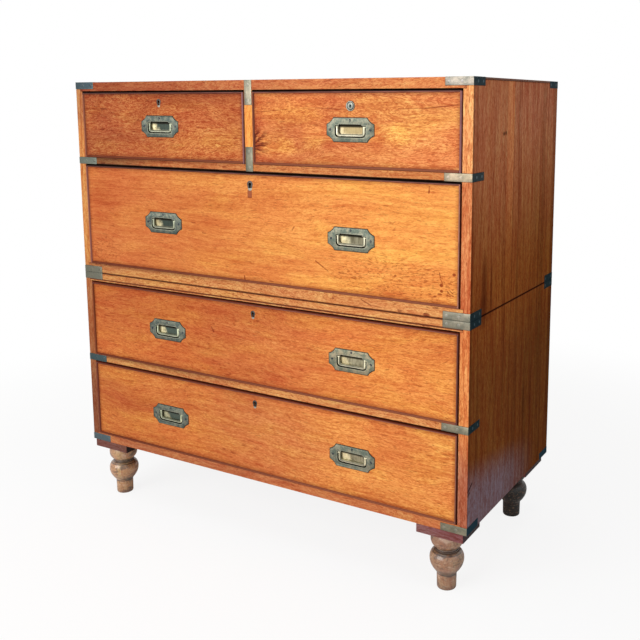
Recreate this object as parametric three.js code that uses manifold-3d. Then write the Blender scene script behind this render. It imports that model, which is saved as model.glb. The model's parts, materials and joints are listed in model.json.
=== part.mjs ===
import * as THREE from "three";
import { mergeVertices } from "three/addons/utils/BufferGeometryUtils.js";
import Module from "manifold-3d";

// A two-part campaign chest: an upper case with two short drawers over a deep one,
// a lower case with two long drawers, flush brass handles, let-in brass straps and
// four turned feet that screw into corner blocks. Sizes are in millimetres, +Z is up,
// the front faces -Y, and the origin is on the floor under the middle of the chest.
// Left and right are those of a person who stands in front of it.

// The cases
const caseWidth = 990;
const caseDepth = 460;
const sideThickness = 20;
const upperTopThickness = 20;
const upperBottomThickness = 22;
const lowerTopThickness = 20;
const lowerBottomThickness = 18;
const dustBoardThickness = 15;
const dividerThickness = 20;
const shortOpening = 150;
const deepOpening = 233;
const thirdOpening = 180;
const bottomOpening = 182;
const topLap = 4;
const housingDepth = 6;
const dividerHousing = 5;
const jointGap = 0.3;
const caseGap = 0.4;
const cutOverrun = 2;

// The backs, each a framed panel let into a rebate
const backThickness = 9;
const backRebateWidth = 10;
const backFrameWidth = 62;
const backPanelSink = 3;

// The pegs that keep the upper case in place on the lower one
const pegRadius = 7;
const pegHeight = 12;
const pegInset = 60;
const pegClearance = 0.6;

// The drawers
const frontThickness = 20;
const drawerSideGap = 1.25;
const drawerTopGap = 2.5;
const drawerBottomGap = 0.5;
const drawerRearGap = 9;
const drawerSideThickness = 10;
const drawerBackThickness = 10;
const drawerBottomThickness = 6;
const drawerBottomLift = 10;
const drawerBottomGroove = 6;
const drawerSideDrop = 3;
const drawerBackDrop = 12;
const cockbeadWidth = 4;
const cockbeadProud = 3;
const dovetailLap = 6;
const dovetailPitch = 42;
const dovetailFlare = 2.2;
const dovetailBaseShare = 0.32;
const stopWidth = 44;
const stopDepth = 24;
const stopHeight = 6;
const stopGap = 0.4;
const stopPlaceShare = 0.3;

// The keyholes
const keyholeRadius = 2.9;
const keyholeSlotWidth = 2.6;
const keyholeSlotLength = 8;
const leftKeyholeDrop = 23.5;
const rightKeyholeDrop = 31.5;
const deepKeyholeDrop = 26;
const thirdKeyholeDrop = 22.8;
const bottomKeyholeDrop = 24;
const escutcheonRadius = 9.5;
const escutcheonThickness = 1.6;

// The flush handles
const plateWidth = 106;
const plateHeight = 46.5;
const plateBodyWidth = 75;
const plateEarHeight = 21;
const plateThickness = 2;
const plateProud = 0.6;
const plateScallopShare = 0.3;
const recessWidth = 69;
const recessHeight = 25.5;
const recessDrop = 2.1;
const recessDepth = 13;
const recessCorner = 8.5;
const panWall = 1.6;
const panSideWall = 2.6;
const lugWidth = 9;
const lugHeight = 2.5;
const bailSideGap = 2.4;
const bailBottomGap = 2.2;
const bailArmWidth = 5.2;
const bailBarHeight = 4.4;
const bailThickness = 4;
const bailHead = 1.6;
const bailEase = 0.5;
const bailBevel = 0.8;
const bailCorner = 7.5;
const bailInnerCorner = 4.5;
const bailSetBack = 0.5;
const pivotRadius = 1.3;
const pivotReach = 2;
const handleSpread = 242;
const shortHandleDrop = 76.5;
const deepHandleDrop = 122.5;
const thirdHandleDrop = 91;
const bottomHandleDrop = 97;

// The brass straps
const strapHeight = 15;
const strapFront = 55;
const strapSide = 52;
const strapThickness = 1.6;
const strapProud = 0.4;
const centreStrapWidth = 18;
const centreStrapHeight = 50;

// The corner blocks and the turned feet
const blockHeight = 17.5;
const blockWidth = 100;
const blockInset = 7;
const frontBlockDepth = 80;
const rearBlockDepth = 105;
const rearBlockInset = 15;
const footHeight = 118.5;
const frontFootInset = 37;
const rearFootInset = 70;
const footSideInset = 57.5;
const footRingRadius = 32.5;
const footRingHeight = 32.5;
const footNeckRadius = 22;
const footNeckHeight = 3;
const footFilletRadius = 24;
const footFilletHeight = 2.5;
const footBallRadius = 34.3;
const footBallRise = 17.5;
const footBallFall = 31.5;
const footShankRadius = 19.8;
const footSoleRadius = 19.2;
const footSoleEase = 2;
const spigotRadius = 12;
const spigotLength = 28;

// How finely round forms are faceted
const footSides = 16;
const footCurveSteps = 5;
const arcSteps = 3;
const beadSteps = 4;
const roundSides = 12;
const discSides = 20;

const upperHeight = upperTopThickness + shortOpening + dustBoardThickness + deepOpening
  + upperBottomThickness;
const lowerHeight = lowerTopThickness + thirdOpening + dustBoardThickness + bottomOpening
  + lowerBottomThickness;
const lowerBase = footHeight + jointGap + blockHeight;
const halfWidth = caseWidth / 2;
const halfDepth = caseDepth / 2;
const innerHalf = halfWidth - sideThickness;
const innerBack = halfDepth - backThickness - jointGap;

const materials = {
  caseWood: new THREE.MeshStandardMaterial({ color: 0xa4522a, roughness: 0.45, metalness: 0 }),
  frontWood: new THREE.MeshStandardMaterial({ color: 0xc06a32, roughness: 0.42, metalness: 0 }),
  liningWood: new THREE.MeshStandardMaterial({ color: 0xb98a5a, roughness: 0.7, metalness: 0 }),
  backWood: new THREE.MeshStandardMaterial({ color: 0x7a4a2c, roughness: 0.75, metalness: 0 }),
  footWood: new THREE.MeshStandardMaterial({ color: 0x8a6440, roughness: 0.4, metalness: 0 }),
  strapBrass: new THREE.MeshStandardMaterial({ color: 0x7f8672, roughness: 0.5, metalness: 0.9 }),
  plateBrass: new THREE.MeshStandardMaterial({ color: 0x8f947c, roughness: 0.45, metalness: 0.9 }),
  bailBrass: new THREE.MeshStandardMaterial({ color: 0xd8c58a, roughness: 0.3, metalness: 0.95 }),
};

const wasm = await Module();
wasm.setup();

// A closed three.js geometry as a solid that can be cut and joined
function solidOf(geometry) {
  const bare = geometry.index ? geometry.toNonIndexed() : geometry.clone();
  bare.deleteAttribute("normal");
  bare.deleteAttribute("uv");
  const shared = mergeVertices(bare);
  const vertProperties = new Float32Array(shared.attributes.position.array);
  const triVerts = new Uint32Array(shared.index.array);
  return new wasm.Manifold(new wasm.Mesh({ numProp: 3, vertProperties, triVerts }));
}

// A solid as a named mesh whose own origin is the given place
function meshOf(name, solid, material, place = [0, 0, 0]) {
  const made = solid.getMesh();
  const geometry = new THREE.BufferGeometry();
  const points = new THREE.BufferAttribute(new Float32Array(made.vertProperties), 3);
  geometry.setAttribute("position", points);
  geometry.setIndex(new THREE.BufferAttribute(new Uint32Array(made.triVerts), 1));
  const [x, y, z] = place;
  geometry.translate(-x, -y, -z);
  geometry.computeVertexNormals();
  const mesh = new THREE.Mesh(geometry, material);
  mesh.name = name;
  mesh.position.set(x, y, z);
  return mesh;
}

// A box between a low and a high corner
function boxSolid(low, high) {
  const [width, depth, height] = high.map((value, axis) => value - low[axis]);
  const geometry = new THREE.BoxGeometry(width, depth, height);
  const [x, y, z] = high.map((value, axis) => (value + low[axis]) / 2);
  return solidOf(geometry.translate(x, y, z));
}

// An upright cylinder on the point (x, y), from low to high
function pegSolid(radius, x, y, low, high) {
  const geometry = new THREE.CylinderGeometry(radius, radius, high - low, roundSides);
  geometry.rotateX(Math.PI / 2);
  return solidOf(geometry.translate(x, y, (low + high) / 2));
}

// The radius of a faceted hole whose flats clear a pin of the given radius
function holeRadius(radius, clearance, sides) {
  return (radius + clearance) / Math.cos(Math.PI / sides);
}

// A shape drawn as seen from the front, standing between two depths
function frontSolid(shape, near, far) {
  const geometry = new THREE.ExtrudeGeometry(shape, {
    depth: far - near,
    bevelEnabled: false,
    curveSegments: arcSteps,
  });
  geometry.rotateX(Math.PI / 2);
  return solidOf(geometry.translate(0, far, 0));
}

function cutAll(solid, cuts) {
  return cuts.reduce((left, cut) => left.subtract(cut), solid);
}

function joinAll(solid, additions) {
  return additions.reduce((whole, addition) => whole.add(addition), solid);
}

// A board of a case: a box with its additions joined on and its cuts taken out
function board(name, material, low, high, cuts = [], additions = []) {
  return meshOf(name, cutAll(joinAll(boxSolid(low, high), additions), cuts), material, low);
}

// Brass straps

// The plates of a corner strap that wraps the front and one side of a case between two
// heights. grow widens them into the pocket that they are let into, and lid adds the
// arms on the top face.
function strapSolid(side, low, high, grow, lid) {
  const skin = strapProud + grow;
  const bed = strapThickness - strapProud + grow;
  const reach = side * (halfWidth + skin);
  const across = (from, to) => (from < to ? [from, to] : [to, from]);
  const [frontLow, frontHigh] = across(reach, side * (halfWidth - strapFront - grow));
  const [sideLow, sideHigh] = across(reach, side * (halfWidth - bed));
  const [armLow, armHigh] = across(reach, side * (halfWidth - strapHeight - grow));
  const nearFace = -halfDepth - skin;
  const sideEnd = -halfDepth + strapSide + grow;
  const base = low - grow;
  const crown = high + (lid ? skin : grow);
  const plates = [
    boxSolid([frontLow, nearFace, base], [frontHigh, -halfDepth + bed, crown]),
    boxSolid([sideLow, nearFace, base], [sideHigh, sideEnd, crown]),
  ];
  if (lid) {
    const under = high - bed;
    const armDepth = -halfDepth + strapHeight + grow;
    plates.push(boxSolid([frontLow, nearFace, under], [frontHigh, armDepth, crown]));
    plates.push(boxSolid([armLow, nearFace, under], [armHigh, sideEnd, crown]));
  }
  return joinAll(plates[0], plates.slice(1));
}

function strapPockets(straps) {
  return straps.map(({ side, low, high, lid }) => strapSolid(side, low, high, jointGap, lid));
}

function strapMeshes(straps) {
  return straps.map(({ name, side, low, high, lid }) => {
    const corner = [side * halfWidth, -halfDepth, low];
    return meshOf(name, strapSolid(side, low, high, 0, lid), materials.strapBrass, corner);
  });
}

// A left and a right strap at one height of a case
function strapPair(label, low, lid = false) {
  const high = low + strapHeight;
  return [
    { name: `${label}_left_strap`, side: -1, low, high, lid },
    { name: `${label}_right_strap`, side: 1, low, high, lid },
  ];
}

// The two straps over the ends of the divider between the short drawers
function centreStrapSolid(low, grow) {
  const half = centreStrapWidth / 2 + grow;
  const near = -halfDepth - strapProud - grow;
  const far = near + strapThickness + grow + grow;
  return boxSolid([-half, near, low - grow], [half, far, low + centreStrapHeight + grow]);
}

// Drawer stops, glued down just behind the drawer fronts

function stopBlocks(centre, drawerWidth, seat) {
  const near = -halfDepth + frontThickness + stopGap;
  return [-1, 1].map((side) => {
    const middle = centre + side * drawerWidth * stopPlaceShare;
    const low = [middle - stopWidth / 2, near, seat - jointGap];
    return boxSolid(low, [middle + stopWidth / 2, near + stopDepth, seat + stopHeight]);
  });
}

// The cases

// The housing in both side boards for a cross board, and the cross board's own extent
function housing(low, high) {
  const reach = innerHalf + housingDepth;
  return boxSolid([-reach, -halfDepth - cutOverrun, low - jointGap], [
    reach, innerBack + jointGap, high + jointGap,
  ]);
}

function crossBoard(name, low, high, cuts, additions) {
  const reach = innerHalf + housingDepth - jointGap;
  const corners = [[-reach, -halfDepth, low], [reach, innerBack, high]];
  return board(name, materials.caseWood, ...corners, cuts, additions);
}

function sideBoards(label, height, crown, cuts) {
  const rebate = (side) => {
    const inner = side * (halfWidth - backRebateWidth);
    const outer = side * (innerHalf - cutOverrun);
    const low = [Math.min(inner, outer), innerBack, -cutOverrun];
    return boxSolid(low, [Math.max(inner, outer), halfDepth + cutOverrun, height + cutOverrun]);
  };
  const left = [[-halfWidth, -halfDepth, 0], [-innerHalf, halfDepth, crown]];
  const right = [[innerHalf, -halfDepth, 0], [halfWidth, halfDepth, crown]];
  return [
    board(`${label}_left_side`, materials.caseWood, ...left, [...cuts, rebate(-1)]),
    board(`${label}_right_side`, materials.caseWood, ...right, [...cuts, rebate(1)]),
  ];
}

// A back as one frame with two sunk panels
function backPanel(name, crown) {
  const half = halfWidth - backRebateWidth - jointGap;
  const near = halfDepth - backThickness;
  const sunk = [-1, 1].map((side) => {
    const inner = side * (backFrameWidth / 2);
    const outer = side * (half - backFrameWidth);
    const low = [Math.min(inner, outer), halfDepth - backPanelSink, backFrameWidth];
    const high = [Math.max(inner, outer), halfDepth + cutOverrun, crown - backFrameWidth];
    return boxSolid(low, high);
  });
  return board(name, materials.backWood, [-half, near, 0], [half, halfDepth, crown], sunk);
}

function pegPlaces() {
  const x = halfWidth - pegInset;
  const y = halfDepth - pegInset;
  return [[-x, -y], [x, -y], [-x, y], [x, y]];
}

const deepFloor = upperBottomThickness;
const dustLow = deepFloor + deepOpening;
const dustHigh = dustLow + dustBoardThickness;
const topLow = dustHigh + shortOpening;
const centreStrapPlaces = [
  ["centre_upper_strap", upperHeight - centreStrapHeight],
  ["centre_lower_strap", dustLow],
];

function upperCase() {
  const straps = [
    ...strapPair("top", upperHeight - strapHeight, true),
    ...strapPair("upper_rail", dustLow),
    ...strapPair("upper_base", 0),
  ];
  const centrePockets = centreStrapPlaces.map(([, low]) => centreStrapSolid(low, jointGap));
  const pockets = strapPockets(straps);
  const housings = [
    housing(0, upperBottomThickness),
    housing(dustLow, dustHigh),
    housing(topLow, upperHeight),
  ];
  const crown = upperHeight - topLap - jointGap;
  const sides = sideBoards("upper", upperHeight, crown, [...housings, ...pockets]);

  const dividerLow = dustHigh - dividerHousing;
  const dividerHigh = topLow + dividerHousing;
  const halfDivider = dividerThickness / 2;
  const dividerSlot = boxSolid(
    [-halfDivider - jointGap, -halfDepth - cutOverrun, dividerLow - jointGap],
    [halfDivider + jointGap, innerBack + jointGap, dividerHigh + jointGap],
  );
  const divider = board(
    "short_drawer_divider",
    materials.caseWood,
    [-halfDivider, -halfDepth, dividerLow],
    [halfDivider, innerBack, dividerHigh],
    centrePockets,
  );

  const topTongue = boxSolid(
    [-innerHalf - housingDepth + jointGap, -halfDepth, topLow],
    [innerHalf + housingDepth - jointGap, innerBack, upperHeight - topLap],
  );
  const topLip = boxSolid(
    [-halfWidth, -halfDepth, upperHeight - topLap],
    [halfWidth, halfDepth, upperHeight],
  );
  const topSolid = cutAll(topTongue.add(topLip), [dividerSlot, ...centrePockets, ...pockets]);
  const top = meshOf("upper_top_board", topSolid, materials.caseWood, [0, 0, upperHeight]);

  const dust = crossBoard("upper_dust_board", dustLow, dustHigh, [
    dividerSlot, ...centrePockets, ...pockets,
  ], [
    ...stopBlocks(-shortCentre, shortWidth, dustHigh),
    ...stopBlocks(shortCentre, shortWidth, dustHigh),
  ]);

  const pegHoles = pegPlaces().map(([x, y]) => pegSolid(
    holeRadius(pegRadius, pegClearance, roundSides), x, y, -cutOverrun, pegHeight + pegClearance,
  ));
  const bottom = crossBoard("upper_bottom_board", 0, upperBottomThickness, [
    ...pockets, ...pegHoles,
  ], stopBlocks(0, innerHalf + innerHalf, upperBottomThickness));

  const group = new THREE.Group();
  group.position.z = lowerBase + lowerHeight + caseGap;
  group.add(...sides, top, divider, dust, bottom);
  group.add(backPanel("upper_back_panel", upperHeight - topLap - jointGap));
  group.add(...strapMeshes(straps));
  for (const [name, low] of centreStrapPlaces) {
    const place = [0, -halfDepth, low];
    group.add(meshOf(name, centreStrapSolid(low, 0), materials.strapBrass, place));
  }
  return group;
}

const bottomFloor = lowerBottomThickness;
const lowerDustLow = bottomFloor + bottomOpening;
const lowerDustHigh = lowerDustLow + dustBoardThickness;
const lowerTopLow = lowerDustHigh + thirdOpening;

// The corner blocks are glued under the lowest board and stop just short of the sides
function cornerBlocks() {
  const outer = halfWidth - blockInset;
  const inner = outer - blockWidth;
  const bond = innerHalf - jointGap;
  const rows = [
    [-halfDepth, -halfDepth + frontBlockDepth],
    [halfDepth - rearBlockInset - rearBlockDepth, halfDepth - rearBlockInset],
  ];
  return rows.flatMap(([near, far]) => [
    boxSolid([-outer, near, -blockHeight], [-inner, far, -jointGap]),
    boxSolid([-bond, near, -jointGap - jointGap], [-inner, far, jointGap]),
    boxSolid([inner, near, -blockHeight], [outer, far, -jointGap]),
    boxSolid([inner, near, -jointGap - jointGap], [bond, far, jointGap]),
  ]);
}

const footPlaces = [
  ["front_left_foot", -1, -halfDepth + frontFootInset],
  ["front_right_foot", 1, -halfDepth + frontFootInset],
  ["rear_left_foot", -1, halfDepth - rearFootInset],
  ["rear_right_foot", 1, halfDepth - rearFootInset],
];

function lowerCase() {
  const straps = [
    ...strapPair("lower_top", lowerHeight - strapHeight),
    ...strapPair("lower_rail", lowerDustLow),
    ...strapPair("lower_base", 0),
  ];
  const pockets = strapPockets(straps);
  const housings = [
    housing(0, lowerBottomThickness),
    housing(lowerDustLow, lowerDustHigh),
    housing(lowerTopLow, lowerHeight),
  ];
  const sides = sideBoards("lower", lowerHeight, lowerHeight, [...housings, ...pockets]);

  const pegs = pegPlaces().map(([x, y]) => pegSolid(
    pegRadius, x, y, lowerHeight - jointGap, lowerHeight + pegHeight,
  ));
  const top = crossBoard("lower_top_board", lowerTopLow, lowerHeight, pockets, pegs);
  const fullWidth = innerHalf + innerHalf;
  const dust = crossBoard(
    "lower_dust_board", lowerDustLow, lowerDustHigh, pockets,
    stopBlocks(0, fullWidth, lowerDustHigh),
  );

  const spigotHoles = footPlaces.map(([, side, y]) => pegSolid(
    holeRadius(spigotRadius, jointGap, roundSides), side * (halfWidth - footSideInset), y,
    -blockHeight - cutOverrun, spigotLength - blockHeight + jointGap,
  ));
  const bottom = crossBoard("lower_bottom_board", 0, lowerBottomThickness, [
    ...pockets, ...spigotHoles,
  ], [...stopBlocks(0, fullWidth, lowerBottomThickness), ...cornerBlocks()]);

  const group = new THREE.Group();
  group.position.z = lowerBase;
  group.add(...sides, top, dust, bottom);
  group.add(backPanel("lower_back_panel", lowerHeight));
  group.add(...strapMeshes(straps));
  return group;
}

// A turned foot that stands on its sole: a cushion ring under the block, a neck with a
// fillet, a vase-shaped ball and a short shank, with its screw spigot on top
function footMesh(name, side, y) {
  const crown = footHeight + spigotLength;
  const neckHigh = footHeight - footRingHeight;
  const neckLow = neckHigh - footNeckHeight;
  const ballHigh = neckLow - footFilletHeight;
  const ballMiddle = ballHigh - footBallRise;
  const ballLow = ballMiddle - footBallFall;
  const ringShares = { shoulder: 0.9, upper: 1.08, lower: 1.04, drop: 0.42, fall: 0.82 };
  const ballShares = { shoulder: 0.86, rise: 0.12, crest: 0.5, fall: 0.56, toe: 0.12 };
  const path = new THREE.Path();
  path.moveTo(0, crown);
  path.lineTo(spigotRadius, crown);
  path.lineTo(spigotRadius, footHeight);
  path.lineTo(footRingRadius * ringShares.shoulder, footHeight);
  path.bezierCurveTo(
    footRingRadius * ringShares.upper, footHeight - footRingHeight * ringShares.drop,
    footRingRadius * ringShares.lower, footHeight - footRingHeight * ringShares.fall,
    footNeckRadius, neckHigh,
  );
  path.lineTo(footNeckRadius, neckLow);
  path.lineTo(footFilletRadius, neckLow);
  path.lineTo(footFilletRadius, ballHigh);
  path.bezierCurveTo(
    footBallRadius * ballShares.shoulder, ballHigh - footBallRise * ballShares.rise,
    footBallRadius, ballMiddle + footBallRise * ballShares.crest,
    footBallRadius, ballMiddle,
  );
  path.bezierCurveTo(
    footBallRadius, ballMiddle - footBallFall * ballShares.fall,
    footShankRadius, ballLow + footBallFall * ballShares.toe,
    footShankRadius, ballLow,
  );
  path.lineTo(footSoleRadius, footSoleEase);
  path.lineTo(footSoleRadius - footSoleEase, 0);
  path.lineTo(0, 0);
  const profile = path.getPoints(footCurveSteps).reverse();
  const geometry = new THREE.LatheGeometry(profile, footSides);
  const foot = new THREE.Mesh(geometry.rotateX(Math.PI / 2), materials.footWood);
  foot.name = name;
  foot.position.set(side * (halfWidth - footSideInset), y, 0);
  return foot;
}

// Flush handles. The origin is the middle of the plate, on the face of the drawer front.

const recessHigh = recessHeight / 2 - recessDrop;
const recessLow = -recessHeight / 2 - recessDrop;
const lugLow = recessHigh - lugHeight;
const bailSweep = Math.hypot(bailThickness / 2, bailHead);
const pivotHeight = lugLow - bailEase - bailSweep;
const pivotDepth = bailSetBack - plateProud + bailThickness / 2;
const panFloor = recessDepth - plateProud;

function plateOutline(grow) {
  const [end, body] = [plateWidth / 2 + grow, plateBodyWidth / 2 + grow];
  const [ear, crown] = [plateEarHeight / 2 + grow, plateHeight / 2 + grow];
  const bendX = body + (end - body) * plateScallopShare;
  const bendZ = ear + (crown - ear) * plateScallopShare;
  const shape = new THREE.Shape();
  shape.moveTo(end, -ear);
  shape.lineTo(end, ear);
  shape.quadraticCurveTo(bendX, bendZ, body, crown);
  shape.lineTo(-body, crown);
  shape.quadraticCurveTo(-bendX, bendZ, -end, ear);
  shape.lineTo(-end, -ear);
  shape.quadraticCurveTo(-bendX, -bendZ, -body, -crown);
  shape.lineTo(body, -crown);
  shape.quadraticCurveTo(bendX, -bendZ, end, -ear);
  return shape;
}

// The opening in the plate: round below, with a lug over each end of the bail above
function recessOutline() {
  const half = recessWidth / 2;
  const turn = half - recessCorner;
  const lug = half - lugWidth;
  const shape = new THREE.Shape();
  shape.moveTo(-half, recessLow + recessCorner);
  shape.quadraticCurveTo(-half, recessLow, -turn, recessLow);
  shape.lineTo(turn, recessLow);
  shape.quadraticCurveTo(half, recessLow, half, recessLow + recessCorner);
  shape.lineTo(half, lugLow);
  shape.lineTo(lug, lugLow);
  shape.lineTo(lug, recessHigh);
  shape.lineTo(-lug, recessHigh);
  shape.lineTo(-lug, lugLow);
  shape.lineTo(-half, lugLow);
  return shape;
}

// The pan behind the plate, or with grow the pocket that it drops into
function panSolid(grow) {
  const half = recessWidth / 2 + panSideWall + grow;
  const low = [-half, 0, recessLow - panWall - grow];
  return boxSolid(low, [half, panFloor + panWall + grow, recessHigh + panWall + grow]);
}

// A round pin along X between two places on the bail's axis
function pivotSolid(radius, from, to) {
  const geometry = new THREE.CylinderGeometry(radius, radius, to - from, roundSides);
  geometry.rotateZ(Math.PI / 2);
  return solidOf(geometry.translate((from + to) / 2, pivotDepth, pivotHeight));
}

function plateSolid() {
  const face = frontSolid(plateOutline(0), -plateProud, plateThickness - plateProud);
  const recess = frontSolid(recessOutline(), -plateProud - cutOverrun, panFloor);
  const wall = recessWidth / 2 + panSideWall + cutOverrun;
  const pivotHole = pivotSolid(holeRadius(pivotRadius, jointGap, roundSides), -wall, wall);
  return cutAll(face.add(panSolid(0)), [recess, pivotHole]);
}

function handlePocket() {
  const face = frontSolid(plateOutline(jointGap), -cutOverrun, plateThickness - plateProud + jointGap);
  return face.add(panSolid(jointGap));
}

// The bail: a flat U with eased edges and a pivot pin at the head of each arm
function bailSolid() {
  const half = recessWidth / 2 - bailSideGap;
  const head = pivotHeight + bailHead;
  const foot = recessLow + bailBottomGap;
  const inner = half - bailArmWidth;
  const bar = foot + bailBarHeight;
  const shape = new THREE.Shape();
  shape.moveTo(-half, head);
  shape.lineTo(-half, foot + bailCorner);
  shape.quadraticCurveTo(-half, foot, -half + bailCorner, foot);
  shape.lineTo(half - bailCorner, foot);
  shape.quadraticCurveTo(half, foot, half, foot + bailCorner);
  shape.lineTo(half, head);
  shape.lineTo(inner, head);
  shape.lineTo(inner, bar + bailInnerCorner);
  shape.quadraticCurveTo(inner, bar, inner - bailInnerCorner, bar);
  shape.lineTo(-inner + bailInnerCorner, bar);
  shape.quadraticCurveTo(-inner, bar, -inner, bar + bailInnerCorner);
  shape.lineTo(-inner, head);
  const geometry = new THREE.ExtrudeGeometry(shape, {
    depth: bailThickness - bailBevel - bailBevel,
    bevelThickness: bailBevel,
    bevelSize: bailBevel,
    bevelOffset: -bailBevel,
    bevelSegments: 1,
    curveSegments: arcSteps,
  });
  geometry.rotateX(Math.PI / 2);
  geometry.translate(0, pivotDepth + bailThickness / 2 - bailBevel, 0);
  const tip = half + bailSideGap + pivotReach;
  const root = half - bailArmWidth / 2;
  const pins = [pivotSolid(pivotRadius, -tip, -root), pivotSolid(pivotRadius, root, tip)];
  return joinAll(solidOf(geometry), pins);
}

function handleMeshes(label, x, z) {
  const plate = meshOf(`${label}_handle_plate`, plateSolid(), materials.plateBrass);
  plate.position.set(x, 0, z);
  const bail = meshOf(
    `${label}_handle_bail`, bailSolid(), materials.bailBrass, [0, pivotDepth, pivotHeight],
  );
  bail.position.set(x, pivotDepth, z + pivotHeight);
  return [plate, bail];
}

// Drawers. The origin is the bottom middle of the drawer, on the face of its front.

// The front with its cockbead, as rectangles that step in towards the middle
function frontBlank(width, height) {
  const round = cockbeadWidth / 2;
  const nose = Math.min(round, cockbeadProud);
  const root = nose - cockbeadProud;
  const steps = [[0, frontThickness], [0, root]];
  for (let step = 1; step <= beadSteps; step += 1) {
    const turn = (Math.PI * step) / beadSteps;
    steps.push([round - round * Math.cos(turn), root - nose * Math.sin(turn)]);
  }
  if (root < 0) steps.push([cockbeadWidth, 0]);
  const points = steps.flatMap(([inset, depth]) => {
    const side = width / 2 - inset;
    const crown = height - inset;
    return [-side, depth, inset, side, depth, inset, side, depth, crown, -side, depth, crown];
  });
  const loopSides = 4;
  const last = (steps.length - 1) * loopSides;
  const faces = [0, 2, 1, 0, 3, 2, last, last + 1, last + 2, last, last + 2, last + 3];
  for (let loop = 0; loop < last; loop += loopSides) {
    for (let corner = 0; corner < loopSides; corner += 1) {
      const [here, next] = [loop + corner, loop + ((corner + 1) % loopSides)];
      faces.push(here, next, next + loopSides, here, next + loopSides, here + loopSides);
    }
  }
  const geometry = new THREE.BufferGeometry();
  geometry.setAttribute("position", new THREE.Float32BufferAttribute(points, 3));
  geometry.setIndex(faces);
  return solidOf(geometry);
}

// The dovetails on the front end of a drawer side, as places and half-widths
function dovetails(sideHeight) {
  const count = Math.max(2, Math.round(sideHeight / dovetailPitch));
  const pitch = sideHeight / count;
  return Array.from({ length: count }, (_, index) => ({
    middle: (index + 1 / 2) * pitch,
    base: pitch * dovetailBaseShare,
    tip: pitch * dovetailBaseShare + dovetailFlare,
  }));
}

// An outline in depth and height, as thick as a board and starting at x
function sideSolid(shape, x, thickness) {
  const geometry = new THREE.ExtrudeGeometry(shape, { depth: thickness, bevelEnabled: false });
  const axes = [new THREE.Vector3(0, 1, 0), new THREE.Vector3(0, 0, 1), new THREE.Vector3(1, 0, 0)];
  geometry.applyMatrix4(new THREE.Matrix4().makeBasis(...axes));
  return solidOf(geometry.translate(x, 0, 0));
}

function dovetailSockets(width, sideHeight) {
  const depth = drawerSideThickness + jointGap;
  return dovetails(sideHeight).flatMap(({ middle, base, tip }) => {
    const shape = new THREE.Shape();
    const rear = frontThickness + cutOverrun;
    const flare = ((tip - base) * cutOverrun) / (frontThickness - dovetailLap);
    shape.moveTo(dovetailLap, middle - tip - jointGap);
    shape.lineTo(rear, middle - base + flare - jointGap);
    shape.lineTo(rear, middle + base - flare + jointGap);
    shape.lineTo(dovetailLap, middle + tip + jointGap);
    return [
      sideSolid(shape, -width / 2 - cutOverrun, depth + cutOverrun),
      sideSolid(shape, width / 2 - depth, depth + cutOverrun),
    ];
  });
}

const drawerLength = caseDepth - backThickness - jointGap - drawerRearGap;
const bottomReach = frontThickness - drawerBottomGroove;

// The sides, back and bottom of a drawer, glued up as one box
function drawerBoxSolid(width, sideHeight) {
  const half = width / 2;
  const shoulder = frontThickness + jointGap;
  const shape = new THREE.Shape();
  shape.moveTo(drawerLength, 0);
  shape.lineTo(drawerLength, sideHeight);
  shape.lineTo(shoulder, sideHeight);
  for (const { middle, base, tip } of dovetails(sideHeight).reverse()) {
    shape.lineTo(shoulder, middle + base);
    shape.lineTo(dovetailLap + jointGap, middle + tip);
    shape.lineTo(dovetailLap + jointGap, middle - tip);
    shape.lineTo(shoulder, middle - base);
  }
  shape.lineTo(shoulder, 0);
  const inner = half - drawerSideThickness;
  const seat = half - drawerSideThickness / 2;
  const floor = drawerBottomLift + drawerBottomThickness;
  return joinAll(sideSolid(shape, -half, drawerSideThickness), [
    sideSolid(shape, inner, drawerSideThickness),
    boxSolid([-inner, bottomReach + jointGap, drawerBottomLift], [inner, shoulder + cutOverrun, floor]),
    boxSolid([-seat, shoulder + jointGap, drawerBottomLift], [seat, drawerLength, floor]),
    boxSolid(
      [-seat, drawerLength - drawerBackThickness, drawerBottomLift],
      [seat, drawerLength, sideHeight - drawerBackDrop],
    ),
  ]);
}

function keyholeSolid(x, z, near, far) {
  const shape = new THREE.Shape();
  const half = keyholeSlotWidth / 2;
  const gap = Math.asin(half / keyholeRadius);
  const bottom = -Math.PI / 2;
  shape.absarc(x, z, keyholeRadius, bottom + gap, bottom + Math.PI + Math.PI - gap, false);
  shape.lineTo(x - half, z - keyholeSlotLength);
  shape.lineTo(x + half, z - keyholeSlotLength);
  return frontSolid(shape, near, far);
}

// The round escutcheon, or with grow its bed in the drawer front
function escutcheonSolid(z, grow) {
  const radius = holeRadius(escutcheonRadius, grow, grow ? discSides : Infinity);
  const thickness = escutcheonThickness + grow + grow;
  const geometry = new THREE.CylinderGeometry(radius, radius, thickness, discSides);
  return solidOf(geometry.translate(0, escutcheonThickness / 2 - plateProud, z));
}

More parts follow.
